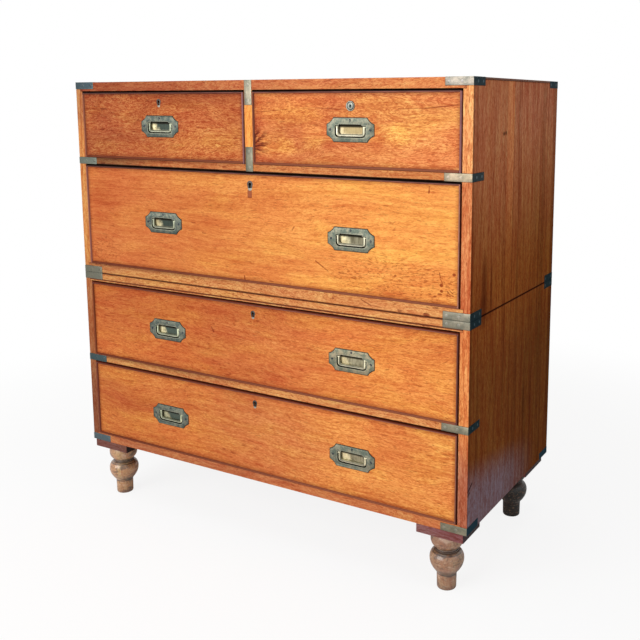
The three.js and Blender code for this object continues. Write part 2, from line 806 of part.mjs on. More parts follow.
function drawer({ name, label, centre, opening, floor, rise, handleDrop, handles, keyholeDrop, round }) {
  const width = opening - drawerSideGap - drawerSideGap;
  const height = rise - drawerBottomGap - drawerTopGap;
  const sideHeight = height - drawerSideDrop;
  const crown = rise - drawerBottomGap;
  const handleHeight = crown - handleDrop;
  const keyholeHeight = crown - keyholeDrop;
  const inner = width / 2 - drawerSideThickness + jointGap;
  const groove = boxSolid(
    [-inner, bottomReach, drawerBottomLift - jointGap],
    [inner, frontThickness + cutOverrun, drawerBottomLift + drawerBottomThickness + jointGap],
  );
  const keyhole = keyholeSolid(0, keyholeHeight, -cutOverrun, frontThickness + cutOverrun);
  const pockets = handles.map(({ x }) => handlePocket().translate([x, 0, handleHeight]));
  const cuts = [...dovetailSockets(width, sideHeight), groove, keyhole, ...pockets];
  if (round) cuts.push(escutcheonSolid(keyholeHeight, jointGap));

  const group = new THREE.Group();
  group.name = name;
  group.position.set(centre, -halfDepth, floor + drawerBottomGap);
  group.add(meshOf(`${name}_front`, cutAll(frontBlank(width, height), cuts), materials.frontWood));
  group.add(meshOf(`${name}_box`, drawerBoxSolid(width, sideHeight), materials.liningWood));
  for (const { x, side } of handles) {
    group.add(...handleMeshes(side ? `${label}_${side}` : label, x, handleHeight));
  }
  if (round) {
    const disc = escutcheonSolid(keyholeHeight, 0).subtract(keyhole);
    const place = [0, 0, keyholeHeight];
    group.add(meshOf(`${label}_escutcheon`, disc, materials.plateBrass, place));
  }
  return group;
}

const shortWidth = innerHalf - dividerThickness / 2;
const shortCentre = (innerHalf + dividerThickness / 2) / 2;
const wideHandles = [{ x: -handleSpread, side: "left" }, { x: handleSpread, side: "right" }];

function upperDrawers() {
  const short = { opening: shortWidth, floor: dustHigh, rise: shortOpening, handleDrop: shortHandleDrop };
  return [
    drawer({
      ...short, name: "top_left_drawer", label: "top_left", centre: -shortCentre,
      handles: [{ x: shortCentre - handleSpread }], keyholeDrop: leftKeyholeDrop,
    }),
    drawer({
      ...short, name: "top_right_drawer", label: "top_right", centre: shortCentre,
      handles: [{ x: handleSpread - shortCentre }], keyholeDrop: rightKeyholeDrop, round: true,
    }),
    drawer({
      name: "deep_drawer", label: "deep", centre: 0, opening: innerHalf + innerHalf,
      floor: deepFloor, rise: deepOpening, handleDrop: deepHandleDrop,
      handles: wideHandles, keyholeDrop: deepKeyholeDrop,
    }),
  ];
}

function lowerDrawers() {
  return [
    drawer({
      name: "third_drawer", label: "third", centre: 0, opening: innerHalf + innerHalf,
      floor: lowerDustHigh, rise: thirdOpening, handleDrop: thirdHandleDrop,
      handles: wideHandles, keyholeDrop: thirdKeyholeDrop,
    }),
    drawer({
      name: "bottom_drawer", label: "bottom", centre: 0, opening: innerHalf + innerHalf,
      floor: bottomFloor, rise: bottomOpening, handleDrop: bottomHandleDrop,
      handles: wideHandles, keyholeDrop: bottomKeyholeDrop,
    }),
  ];
}

const upper = upperCase();
upper.add(...upperDrawers());
const lower = lowerCase();
lower.add(...lowerDrawers());

const chest = new THREE.Group();
chest.name = "campaign_chest";
chest.position.y = cockbeadProud / 2;
chest.add(upper, lower, ...footPlaces.map((place) => footMesh(...place)));
export default chest;
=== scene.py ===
import itertools
import json
import math

import bpy
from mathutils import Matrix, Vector


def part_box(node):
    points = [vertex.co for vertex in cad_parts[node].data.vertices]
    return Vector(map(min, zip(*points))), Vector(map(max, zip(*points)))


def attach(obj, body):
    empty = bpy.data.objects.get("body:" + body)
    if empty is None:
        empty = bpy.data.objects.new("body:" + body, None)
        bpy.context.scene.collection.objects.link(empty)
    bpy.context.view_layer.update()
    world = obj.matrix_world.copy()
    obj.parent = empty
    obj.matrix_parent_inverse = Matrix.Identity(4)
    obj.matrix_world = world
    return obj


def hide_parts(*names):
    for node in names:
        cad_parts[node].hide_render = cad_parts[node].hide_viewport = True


# The looks of a two-part campaign chest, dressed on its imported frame. Sizes are in
# metres, the front faces -Y, and left and right are those of a person in front of it.

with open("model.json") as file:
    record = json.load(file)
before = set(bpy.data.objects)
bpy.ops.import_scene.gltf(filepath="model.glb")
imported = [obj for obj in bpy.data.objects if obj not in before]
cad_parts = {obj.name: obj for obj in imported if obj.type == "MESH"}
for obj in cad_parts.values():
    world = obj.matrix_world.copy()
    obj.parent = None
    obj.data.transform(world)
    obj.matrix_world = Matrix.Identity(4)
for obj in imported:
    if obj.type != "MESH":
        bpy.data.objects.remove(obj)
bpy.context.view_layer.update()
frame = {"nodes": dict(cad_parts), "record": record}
nodes = frame["nodes"]
bodies = frame["record"]["behaviour"]["bodies"]
body_of = {node: body for body, members in bodies.items() for node in members}

# Camera
CAMERA_PLACE = (1.1072, -1.6412, 0.9472)
CAMERA_YAW = 29.474
CAMERA_PITCH = -8.83
CAMERA_LENS = 48.75
CAMERA_SHIFT = (-0.095, -0.13)

# Sizes shared by several pieces
MM = 0.001
FRONT_PLANE = -0.2285
BACK_PLANE = 0.2315
SIDE_PLANE = 0.495
STRAP_PROUD = 0.0004
STRAP_HEIGHT = 0.015
STRAP_LOWS = {
    "upper_case": (0.9767, 0.8067, 0.5517),
    "lower_case": (0.5363, 0.3363, 0.1363),
}
REAR_STRAP_LOWS = {0.9767, 0.5517, 0.5363, 0.1363}
CENTRE_STRAP_LOWS = (0.9417, 0.8067)
CENTRE_STRAP_HEIGHT = 0.05
BEAD_WIDTH = 0.0042
BEAD_DEPTH = 0.01
CASE_JOINT = 0.5515


# Materials

class Value:
    """A number that varies over a surface, worked with like a Python number."""

    def __init__(self, writer, socket):
        self.writer = writer
        self.socket = socket

    def __add__(self, other):
        return self.writer.maths("ADD", self, other)

    __radd__ = __add__

    def __sub__(self, other):
        return self.writer.maths("SUBTRACT", self, other)

    def __rsub__(self, other):
        return self.writer.maths("SUBTRACT", other, self)

    def __mul__(self, other):
        return self.writer.maths("MULTIPLY", self, other)

    def __abs__(self):
        return self.writer.maths("ABSOLUTE", self)

    def least(self, other):
        return self.writer.maths("MINIMUM", self, other)

    def most(self, other):
        return self.writer.maths("MAXIMUM", self, other)

    def ramp(self, low, high):
        """0 below low and 1 above high, with a soft step between; low may be the larger."""
        made = self.writer.node("MapRange", {"interpolation_type": "SMOOTHSTEP"}, {
            "Value": self, "From Min": low, "From Max": high})
        return Value(self.writer, made.outputs["Result"])

    def band(self, start, full, last, end):
        """0 up to start, 1 from full to last and 0 from end on, with soft steps."""
        return self.ramp(start, full) * self.ramp(end, last)


class Writer:
    """Writes the nodes of a material or of the world."""

    def __init__(self, owner):
        owner.use_nodes = True
        self.tree = owner.node_tree

    def node(self, kind, settings=None, sockets=None):
        made = self.tree.nodes.new("ShaderNode" + kind)
        for key, value in (settings or {}).items():
            setattr(made, key, value)
        for key, value in (sockets or {}).items():
            self.feed(made.inputs[key], value)
        return made

    def feed(self, socket, value):
        if isinstance(value, Value):
            value = value.socket
        if isinstance(value, bpy.types.NodeSocket):
            self.tree.links.new(value, socket)
        elif isinstance(value, tuple) and socket.type == "RGBA" and len(value) == 3:
            socket.default_value = (*value, 1)
        else:
            socket.default_value = value

    def maths(self, operation, *values):
        made = self.node("Math", {"operation": operation}, dict(enumerate(values)))
        return Value(self, made.outputs[0])


class Finish(Writer):
    """One material, its colour so far and what its surface is worked out from."""

    def __init__(self, name):
        self.material = bpy.data.materials.new(name)
        super().__init__(self.material)
        self.surface = self.tree.nodes["Principled BSDF"]
        self.place = self.node("TexCoord").outputs["Object"]
        parts = self.node("SeparateXYZ", {}, {"Vector": self.place}).outputs
        self.axes = self.x, self.y, self.z = [Value(self, parts[axis]) for axis in "XYZ"]
        self.colour = None

    def mix(self, share, first, second, blend="MIX"):
        made = self.node("Mix", {"data_type": "RGBA", "blend_type": blend}, {
            0: share, 6: first, 7: second})
        return made.outputs[2]

    def tint(self, share, colour, blend="MIX"):
        """Lays a colour over what is there, as strongly as the share says."""
        self.colour = self.mix(share, self.colour, colour, blend)

    def stain(self, share, colour):
        """Multiplies what is there by a colour."""
        self.tint(share, colour, "MULTIPLY")

    def noise(self, stretch, detail=3.0, roughness=0.55, shift=(0, 0, 0), distortion=0.0):
        """Noise whose lumps along each axis are one over the stretch, in metres."""
        if not isinstance(stretch, tuple):
            stretch = (stretch, stretch, stretch)
        spread = self.node("Mapping", {}, {
            "Vector": self.place, "Location": shift, "Scale": stretch})
        made = self.node("TexNoise", {}, {
            "Vector": spread.outputs[0], "Scale": 1.0, "Detail": detail,
            "Roughness": roughness, "Distortion": distortion})
        return Value(self, made.outputs["Fac"])

    def marked(self, name):
        """1 on the faces that a piece has marked with this name."""
        return Value(self, self.node("Attribute", {"attribute_name": name}).outputs["Fac"])

    def seat(self):
        """Where a point lies on its handle, from the middle of the plate: across and up."""
        seat = self.node("Attribute", {"attribute_name": "seat"})
        parts = self.node("SeparateXYZ", {}, {"Vector": seat.outputs["Vector"]})
        return Value(self, parts.outputs["X"]), Value(self, parts.outputs["Z"])

    def behind(self, low, high):
        """A ramp from one depth behind the drawer fronts to another."""
        return self.y.ramp(FRONT_PLANE + low, FRONT_PLANE + high)

    def spot(self, across, up, centre, reach):
        """1 in the middle of an oval on a face and 0 outside it, in millimetres."""
        wide = (across - centre[0] * MM) * (1 / (reach[0] * MM))
        high = (up - centre[1] * MM) * (1 / (reach[1] * MM))
        return (wide * wide + high * high).ramp(1.0, 0.0)

    def stroke(self, across, up, start, end, width):
        """1 on a short line on a face and 0 away from it, in millimetres."""
        start, end, width = Vector(start) * MM, Vector(end) * MM, width * MM
        run = end - start
        half = run.length / 2
        turn = run.normalized()
        middle = (start + end) / 2
        side, rise = across - middle.x, up - middle.y
        along = abs(side * turn.x + rise * turn.y) - half
        off = rise * turn.x - side * turn.y
        beyond = along.most(0.0)
        return (off * off + beyond * beyond).ramp(width * width, 0.0)

    def bump(self, height, depth):
        bump = self.node("Bump", {}, {"Height": height, "Distance": depth, "Strength": 1.0})
        self.feed(self.surface.inputs["Normal"], bump.outputs[0])

    def metal(self, relief, depth, roughness, metallic=0.85):
        self.bump(relief, depth)
        return self.set(Base_Color=self.colour, Metallic=metallic, Roughness=roughness)

    def set(self, **sockets):
        for name, value in sockets.items():
            self.feed(self.surface.inputs[name.replace("_", " ")], value)
        return self.material


class Wood(Finish):
    """Old polished wood: broad tones, curled figure, short flecks and fine pores."""

    def __init__(self, name, grain="x", seed=0.0, sway=0.14):
        super().__init__(name)

        def figure(along, across, detail, roughness, distortion=0.0):
            stretch = tuple(along if axis == grain else across for axis in "xyz")
            shift = (seed * 3.1, seed * 1.7, seed * 2.3)
            return self.noise(stretch, detail, roughness, shift, distortion)

        # The lines of the grain rise and fall slowly along the board
        lift = (figure(2.6, 6.5, 2.0, 0.5) - 0.5) * sway
        bend = self.node("CombineXYZ", {}, {
            axis: lift for axis in "XYZ" if axis.lower() != grain}).outputs[0]
        moved = self.node("VectorMath", {"operation": "ADD"}, {0: self.place, 1: bend})
        self.place = moved.outputs[0]
        self.broad = figure(3.2, 14.0, 3.0, 0.5)
        self.hue = figure(7.0, 26.0, 2.0, 0.5)
        self.cloud = figure(15.0, 60.0, 3.0, 0.6, 0.4)
        self.band = figure(5.0, 100.0, 3.0, 0.55)
        self.streak = figure(8.0, 200.0, 4.0, 0.6)
        self.curl = figure(38.0, 240.0, 3.0, 0.68, 1.4)
        self.fleck = figure(80.0, 340.0, 2.0, 0.65, 1.6)
        self.dash = figure(52.0, 400.0, 2.0, 0.6, 0.5)
        self.pore = figure(150.0, 1500.0, 2.0, 0.5)
        self.gloss = 0.4 + self.streak * 0.16
        self.relief = self.streak * 0.3 - self.pore * 0.35 - self.dash * 0.3

    def laid(self, light, dark):
        self.colour = self.mix(self.broad.ramp(0.3, 0.7), light, dark)

    def grained(self, fleck, dash, cloud=0.3, band=0.4, hue=0.4):
        """Multiplies the base tone by the figure of the wood, both darker and lighter."""
        for figure, share, reach, dark, light in (
            (self.hue, hue, 0.14, (0.92, 0.7, 0.76), (1.05, 1.26, 1.06)),
            (self.cloud, cloud, 0.16, (0.8, 0.6, 0.51), (1.06, 1.22, 1.24)),
            (self.band, band, 0.14, (0.82, 0.62, 0.55), (1.06, 1.22, 1.22)),
            (self.streak, 0.45, 0.12, (0.82, 0.62, 0.53), (1.05, 1.16, 1.18)),
            (self.curl, fleck, 0.1, (0.75, 0.5, 0.41), (1.08, 1.28, 1.34)),
            (self.fleck, fleck, 0.09, (0.66, 0.38, 0.28), (1.1, 1.4, 1.5)),
        ):
            self.stain(figure.ramp(0.5, 0.5 + reach) * share, dark)
            self.stain(figure.ramp(0.49, 0.49 - reach) * share, light)
        self.stain(self.dash.ramp(0.6, 0.67) * dash, (0.42, 0.25, 0.2))
        self.stain(self.pore.ramp(0.58, 0.74) * 0.3, (0.62, 0.48, 0.44))

    def strokes(self, colour, lines, across=None):
        """Scratches in millimetres, each a start, an end, a width and a strength."""
        for start, end, width, strength in lines:
            line = self.stroke(across or self.x, self.z, start, end, width)
            self.stain(line * strength, colour)

    def spots(self, colour, places, soft=1.0, across=None):
        """Marks in millimetres, each a middle, a reach across and up, and a strength."""
        for middle, reach, strength in places:
            spot = self.spot(across or self.x, self.z, middle, reach)
            if soft < 1.0:
                spot = spot.ramp(0.0, soft)
            self.stain(spot * strength, colour)

    def done(self, depth=0.00022, coat=0.03, shine=0.06):
        self.bump(self.relief, depth)
        return self.set(
            Base_Color=self.colour, Roughness=self.gloss, Coat_Weight=coat,
            Coat_Roughness=0.22, Specular_IOR_Level=shine)


GRIME = (0.34, 0.18, 0.13)
# Painted shade: the dark that shows in the gaps round the drawers and inside the case
GAP_SHADE = (0.01, 0.002, 0.001)
RED_GAP_SHADE = (0.11, 0.019, 0.007)
# Painted shade inside holes through the wood
HOLE_SHADE = (0.006, 0.004, 0.004)
# The bead at the top and right of each front, darkened as painted shade
BEAD_COLOUR = (0.07, 0.016, 0.009)
PALE_BEADS = ("top_left_drawer", "top_right_drawer")
BEADS = {
    # the bead at the left of each drawer, the painted highlight on its ridge at the right, and
    # the painted shade in the gap above
    "top_left_drawer": ((0.27, 0.088, 0.05), (0.26, 0.115, 0.115), GAP_SHADE),
    "top_right_drawer": ((0.2, 0.06, 0.035), (0.27, 0.115, 0.115), GAP_SHADE),
    "deep_drawer": ((0.26, 0.095, 0.07), (0.42, 0.18, 0.125), GAP_SHADE),
    "third_drawer": ((0.17, 0.04, 0.014), (0.15, 0.056, 0.048), RED_GAP_SHADE),
    "bottom_drawer": ((0.15, 0.038, 0.022), (0.26, 0.1, 0.066), RED_GAP_SHADE),
}


def drawer_front_finish(drawer, left, right, dark, seed, figure, sway=0.14):
    low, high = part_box(drawer + "_front")
    middle, half = (low + high) / 2, (high - low) / 2
    wood = Wood(drawer + "_front_wood", "x", seed, sway)
    x, y, z = wood.axes
    wood.laid(left, dark)
    # Lighter towards the right end, partly the wood's tone and partly painted sheen
    wood.tint(x.ramp(low.x, high.x) * 0.85, right)
    wood.stain(wood.broad.ramp(0.45, 0.72) * 0.4, (0.82, 0.66, 0.6))
    wood.grained(*figure)
    if drawer in MARKS:
        MARKS[drawer](wood)
    edge = (half.x - abs(x - middle.x)).least(half.z - abs(z - middle.z))
    wear_and_glint = wood.noise(30.0, 2.0, 0.5, (seed, 0, 0))
    wood.stain(edge.ramp(0.014, BEAD_WIDTH) * (0.2 + wear_and_glint * 0.5), GRIME)
    # The bead is dark, darker at the top and the right as painted shade; a painted highlight
    # on its ridge shows most at the top and at the right
    left_bead, right_highlight, gap_shade = BEADS[drawer]
    past, inner = BEAD_WIDTH + 0.001, BEAD_WIDTH + 0.0002
    at_left = (x - low.x).ramp(past, inner)
    at_right = (x - high.x).ramp(-past, -inner)
    at_top = (z - high.z).ramp(-past, -inner)
    along = x.ramp(-0.42, 0.3)
    tone = wood.mix(along, (0.14, 0.032, 0.014), (0.235, 0.072, 0.036))
    tone = wood.mix(at_top.most(at_right), tone, BEAD_COLOUR)
    back = low.y + BEAD_DEPTH
    bead = edge.ramp(BEAD_WIDTH + 0.0008, inner) * y.ramp(back + 0.0005, back)
    wood.tint(bead, wood.mix(at_left, tone, left_bead))
    # The ridge of the bead, where the painted highlight goes
    ridge = edge.band(0.001, 0.0016, 0.0034, 0.0041)
    ridge = ridge * (0.5 + wear_and_glint.ramp(0.3, 0.6) * 0.5)
    wood.tint(ridge * at_top * 0.9, wood.mix(along, (0.135, 0.052, 0.04), (0.34, 0.13, 0.1)))
    if drawer in PALE_BEADS:
        ridge = x.ramp(high.x - 0.0041, high.x - 0.0034) * wood.behind(0.0008, 0)
        ridge = ridge * (0.7 + wear_and_glint.ramp(0.3, 0.6) * 0.3)
    wood.tint(ridge * at_right, right_highlight)
    # The top of the front takes the colour of the gap over it, as painted shade
    wood.tint((z - high.z).ramp(-0.0024, -0.0017), gap_shade)
    raw = y.ramp(back, back + 0.001)
    wood.tint(raw * 0.75, (0.3, 0.16, 0.09))
    # The walls of the holes through the front are painted black, as painted shade
    hole = wood.behind(0.0005, 0.0014) * wood.behind(0.0195, 0.0185) * edge.ramp(0.009, 0.011)
    wood.tint(hole, HOLE_SHADE)
    wood.gloss = wood.gloss + raw * 0.25
    return wood.done()


def short_right_marks(wood):
    """Rays round a knot at the left end, and a thin crack over the handle."""
    x, z = wood.x, wood.z
    aside, over = x - 0.004, z - 0.856
    turn = wood.maths("ARCTAN2", over, aside)
    ray = wood.maths("SINE", turn * 15.0 + wood.curl * 9.0)
    reach = wood.spot(x, z, (18, 868), (42, 36))
    wood.stain(reach * ray.ramp(-0.2, 0.6), (0.34, 0.16, 0.15))
    wood.spots((0.55, 0.3, 0.28), (((22, 862), (18, 16), 0.9),))
    wood.spots((0.84, 0.62, 0.56), (
        ((64, 858), (20, 20), 0.8), ((215, 925), (190, 40), 0.5), ((300, 880), (20, 36), 0.8),
        ((195, 868), (20, 16), 0.8), ((20, 930), (30, 50), 0.6),
    ))
    wood.spots((1.14, 1.36, 1.2), (
        ((92, 862), (28, 24), 0.8), ((155, 880), (36, 34), 0.8), ((345, 885), (30, 30), 0.7),
        ((400, 905), (80, 30), 0.3),
    ))
    wood.strokes((0.44, 0.22, 0.17), (
        ((345, 935), (400, 936.2), 1.3, 0.55), ((400, 936.2), (464.5, 942.5), 1.4, 0.8),
        ((20, 927.5), (95, 933), 1.3, 0.55), ((95, 933), (165, 936.2), 1.2, 0.3),
        ((165, 936.2), (232, 933.5), 1.4, 0.6), ((360, 899), (372, 898.5), 1.6, 0.5),
    ))


def short_left_marks(wood):
    """Redder and darker on the left, golden towards the lower right."""
    wood.spots((1.18, 1.42, 1.3), (
        ((-100, 860), (170, 55), 0.5), ((-360, 905), (50, 30), 0.45),
        ((-420, 860), (70, 22), 0.4), ((-330, 955), (60, 12), 0.3),
    ))
    wood.spots((0.78, 0.58, 0.56), (
        ((-430, 925), (100, 35), 0.35), ((-300, 905), (50, 50), 0.3),
        ((-200, 950), (160, 28), 0.45),
    ))
    wood.stain(wood.z.ramp(0.93, 0.955) * 0.6, (0.76, 0.64, 0.68))
    wood.strokes((0.45, 0.26, 0.22), (
        ((-418, 932.5), (-400, 931.8), 2.4, 0.75), ((-465, 931.5), (-420, 932.2), 1.6, 0.4),
    ))


def deep_marks(wood):
    """A plugged patch under the keyhole, scratches, and flecks at the lower right."""
    x, z = wood.x, wood.z
    # The keyhole's hole is painted black, as painted shade
    wood.tint(wood.stroke(x, z, (0, 780.7), (0, 774), 3.7).ramp(0.0, 0.2), HOLE_SHADE)
    patch = abs(x + 0.001).ramp(0.0062, 0.0046) * z.band(0.7522, 0.7532, 0.7672, 0.769)
    wood.tint(patch * 0.8, (0.24, 0.058, 0.034))
    wood.stain(patch * abs(x + 0.001).ramp(0.003, 0.005) * 0.5, (0.7, 0.45, 0.35))
    wood.stain(patch * z.ramp(0.756, 0.7535) * 0.8, (0.6, 0.42, 0.2))
    wood.strokes((0.4, 0.15, 0.13), (
        ((160, 635), (177, 624.8), 2, 0.8), ((177, 624.8), (189, 617.5), 1.6, 0.6),
        ((104, 693), (109, 700), 1.9, 0.65), ((-19.5, 587), (-18.5, 578.5), 2.2, 0.85),
        ((44.6, 582.6), (54.8, 582.3), 1.4, 0.7), ((410.3, 795), (410, 788), 1.8, 0.55),
        ((410, 787), (409.4, 784.2), 2.6, 0.8), ((-160, 691), (-151, 690.6), 1.6, 0.75),
        ((-131, 670.2), (-123, 669.8), 1.5, 0.65), ((434.5, 626), (439, 618.5), 1.4, 0.7),
    ))
    wood.spots((0.36, 0.14, 0.1), (
        ((436.8, 614.5), (4.6, 4.4), 0.9), ((437, 603.5), (4, 3.4), 0.9),
        ((433.5, 597.5), (6.2, 2.6), 0.8), ((423.6, 592), (3.6, 2.2), 0.7),
        ((340.2, 623), (3.4, 2.4), 0.7), ((462, 636.5), (4.2, 3.6), 0.9),
        ((437.5, 577), (5.6, 2.2), 0.7), ((449, 573.5), (5, 2.2), 0.6),
    ), 0.6)
    wood.strokes((0.36, 0.14, 0.1), (
        ((449, 604), (454, 599), 1.6, 0.8), ((454, 606), (460, 601), 1.5, 0.8),
        ((448, 597), (455, 595.5), 1.5, 0.7), ((456, 599), (461, 596), 1.3, 0.6),
        ((432.5, 637), (434.5, 629), 1.7, 0.75),
    ))
    wood.spots((0.7, 0.42, 0.34), (((418, 785), (6, 3), 0.6),))
    wood.spots((0.84, 0.66, 0.6), (
        ((330.5, 591.4), (50, 14), 0.7), ((-120, 690), (100, 30), 0.6),
        ((-30, 617), (50, 10), 0.7), ((-420, 700), (60, 100), 0.4),
    ))
    wood.spots((1.08, 1.2, 1.1), (
        ((-100, 615), (100, 30), 0.7), ((360, 700), (160, 85), 0.35),
        ((250, 780), (200, 20), 0.4),
    ))
    flecks = wood.noise((120.0, 120.0, 330.0), 2.0, 0.6, (7, 1, 2))
    where = wood.spot(x, z, (340, 612), (170, 55))
    where = where.most(wood.spot(x, z, (-420, 610), (60, 40))).ramp(0.0, 0.5)
    wood.stain(where * flecks.ramp(0.55, 0.62) * 0.6, (0.46, 0.25, 0.18))


def third_marks(wood):
    """Redder at the left and along the top, golden at the middle and the right."""
    wood.stain(wood.z.ramp(0.475, 0.525) * 0.35, (0.8, 0.66, 0.62))
    wood.spots((1.08, 1.22, 1.1), (
        ((340, 440), (160, 70), 0.35), ((-20, 425), (150, 30), 0.6),
    ))
    wood.spots((0.86, 0.62, 0.66), (
        ((-155, 460), (60, 22), 0.6), ((-170, 500), (120, 14), 0.5), ((-120, 385), (45, 12), 0.7),
        ((50, 378), (60, 12), 0.5),
    ))
    wood.spots((0.88, 0.8, 0.92), (((20, 440), (220, 140), 0.9),))
    wood.strokes((0.48, 0.26, 0.24), (((-113.5, 464), (-108.5, 455.5), 3, 0.8),))


def bottom_marks(wood):
    """Redder along its foot, with a reddish cloud at the upper right."""
    wood.stain(wood.z.ramp(0.205, 0.165) * 0.3, (0.78, 0.66, 0.62))
    wood.spots((0.87, 0.8, 0.96), (((20, 240), (220, 140), 0.9),))
    wood.spots((0.88, 0.66, 0.68), (
        ((345, 290), (80, 16), 0.6), ((-350, 250), (100, 30), 0.4),
    ))
    wood.spots((1.06, 1.2, 1.06), (((400, 255), (60, 40), 0.5),))


MARKS = {
    "top_left_drawer": short_left_marks,
    "top_right_drawer": short_right_marks,
    "deep_drawer": deep_marks,
    "third_drawer": third_marks,
    "bottom_drawer": bottom_marks,
}


def case_finish(name, left, right, dark, grain, seed, figure, shade=None, shine=0.06, sway=0.14):
    """Case wood that goes from one tone at the left end to another at the right."""
    wood = Wood(name, grain, seed, sway)
    x, y, z = wood.axes
    wood.laid(left, dark)
    # A lighter right end is partly the wood's tone and partly painted sheen
    wood.tint(x.ramp(-0.5, 0.5) * 0.9, right)
    if shade:
        shade(wood)
    wood.grained(*figure)
    wood.stain(wood.marked("arris") * 0.35, (0.45, 0.26, 0.2))
    wood.stain(abs(z - CASE_JOINT).ramp(0.003, 0.001) * 0.9, (0.15, 0.055, 0.035))
    inner = abs(x).ramp(SIDE_PLANE - 0.003, SIDE_PLANE - 0.006) * z.ramp(0.9895, 0.9875)
    inner = inner * z.ramp(0.137, 0.139) * y.ramp(BACK_PLANE - 0.0052, BACK_PLANE - 0.0062)
    # The insides of the case just behind the front are painted dark, as painted shade
    throat_shade = wood.behind(0.0006, 0.003) * inner
    wood.tint(throat_shade * 0.9, wood.mix(z.ramp(0.56, 0.545), GAP_SHADE, RED_GAP_SHADE))
    inside = wood.behind(0.018, 0.028) * inner
    wood.tint(inside * 0.9, (0.24, 0.12, 0.06))
    wood.gloss = wood.gloss + inside * 0.25
    return wood.done(shine=shine)


def side_shade(wood):
    """Bright stiles in front; the flank darkens to the floor and has a plank joint."""
    x, y, z = wood.axes
    plank = wood.noise((1.0, 75.0, 1.2), 3.0, 0.55, (4, 0, 2))
    wood.stain(plank.ramp(0.48, 0.62) * 0.62, (0.62, 0.54, 0.48))
    wood.stain(plank.ramp(0.46, 0.34) * 0.5, (1.14, 1.22, 1.2))
    # The flank darkens towards the floor as painted shade
    wood.stain(z.ramp(0.95, 0.58) * 0.85, (0.46, 0.34, 0.05))
    wood.stain(z.ramp(0.6, 0.4), (0.7, 0.72, 0.72))
    wood.stain(y.ramp(-0.05, 0.15) * z.ramp(0.95, 0.75), (0.9, 0.93, 0.85))
    joint = y + 0.026
    band = joint.band(-0.045, -0.03, 0.0, 0.002) * z.ramp(0.5, 0.85)
    wood.stain(band * 0.6, (1.4, 1.5, 1.3))
    rear = wood.mix(z.ramp(0.8, 0.95), (0.88, 0.86, 0.84), (0.84, 0.84, 1.05))
    wood.stain(joint.ramp(0.0, 0.002) * 0.5, rear)
    wood.stain(abs(joint).ramp(0.0024, 0.0006) * 0.6, (0.36, 0.24, 0.2))
    wood.stain(y.ramp(BACK_PLANE - 0.026, BACK_PLANE) * 0.55, (0.42, 0.34, 0.3))
    wood.stain(wood.behind(0.012, 0.002) * 0.6, (0.36, 0.26, 0.24))
    wood.spots((0.05, 0.04, 0.04), (
        ((-81, 888), (5, 5.5), 0.9), ((-71, 889), (5, 5.5), 0.9),
    ), across=y)
    wood.spots((0.42, 0.3, 0.28), (
        ((-165, 600), (18, 90), 0.8), ((-130, 600), (6, 70), 0.7), ((-170, 560), (60, 40), 0.4),
        ((60, 310), (10, 60), 0.5),
    ), across=y)
    # A purple-grey tint low at the front of the right flank
    low_front_tint = (z + y * 0.15).ramp(0.255, 0.165) * y.ramp(0.16, -0.08)
    wood.tint(low_front_tint * x.ramp(-0.1, 0.1) * 0.85, (0.212, 0.158, 0.196))
    wood.strokes((0.2, 0.14, 0.14), (
        ((-227, 223), (-208, 234), 3.5, 0.9), ((-227.5, 215), (-219, 219), 2.8, 0.9),
    ), across=y)
    wood.stain(z.ramp(0.983, 0.99) * 0.6, (0.42, 0.3, 0.26))
    stile = wood.behind(0.0012, 0.0003)
    tone = wood.mix(z.ramp(0.8, 0.835), (0.72, 0.245, 0.092), (0.93, 0.42, 0.155))
    tone = wood.mix(z.ramp(0.56, 0.52), tone, (0.84, 0.32, 0.105))
    tone = wood.mix(z.ramp(0.36, 0.24) * 0.9, tone, (0.46, 0.155, 0.09))
    left = wood.mix(z.ramp(0.62, 0.5), (0.63, 0.285, 0.09), (0.41, 0.165, 0.07))
    left = wood.mix(z.ramp(0.46, 0.22), left, (0.235, 0.08, 0.04))
    left = wood.mix(z.ramp(0.87, 0.92), left, (0.49, 0.215, 0.083))
    tone = wood.mix(x.ramp(0.4, -0.4), tone, left)
    wood.tint(stile, tone)
    wood.stain(stile * plank.ramp(0.46, 0.6) * 0.45, (0.8, 0.62, 0.62))
    wood.stain(stile * wood.streak.ramp(0.48, 0.6) * 0.45, (0.82, 0.64, 0.6))


def top_shade(wood):
    x, y, z = wood.axes
    wear = wood.noise((5.0, 7.0, 5.0), 4.0, 0.6, (2, 5, 1))
    wood.stain(wear.ramp(0.5, 0.7) * 0.35, (0.62, 0.48, 0.44))
    face = z.ramp(0.9914, 0.9917)
    wood.stain(face * 0.6, (0.8, 0.66, 0.6))
    for place in ((190, 50), (-270, -70)):
        ring = abs(wood.spot(x, y, place, (75, 75)) - 0.18)
        wood.stain(ring.ramp(0.06, 0.0) * face * 0.25, (0.45, 0.3, 0.26))
    wood.stain(z.ramp(0.9884, 0.9876) * abs(x).ramp(0.47, 0.48) * 0.5, GRIME)
    wood.tint(abs(x).ramp(SIDE_PLANE - 0.0006, SIDE_PLANE - 0.0002) * 0.85, (0.06, 0.026, 0.018))


RAIL_GAPS = (
    # the foot of each rail, the height of the gap over it and the painted shade that fills it
    (0.8067, 0.0018, GAP_SHADE), (0.5363, 0.0012, RED_GAP_SHADE), (0.3363, 0.0012, RED_GAP_SHADE),
)
DRAWER_SILLS = (0.8217, 0.5737, 0.3513)


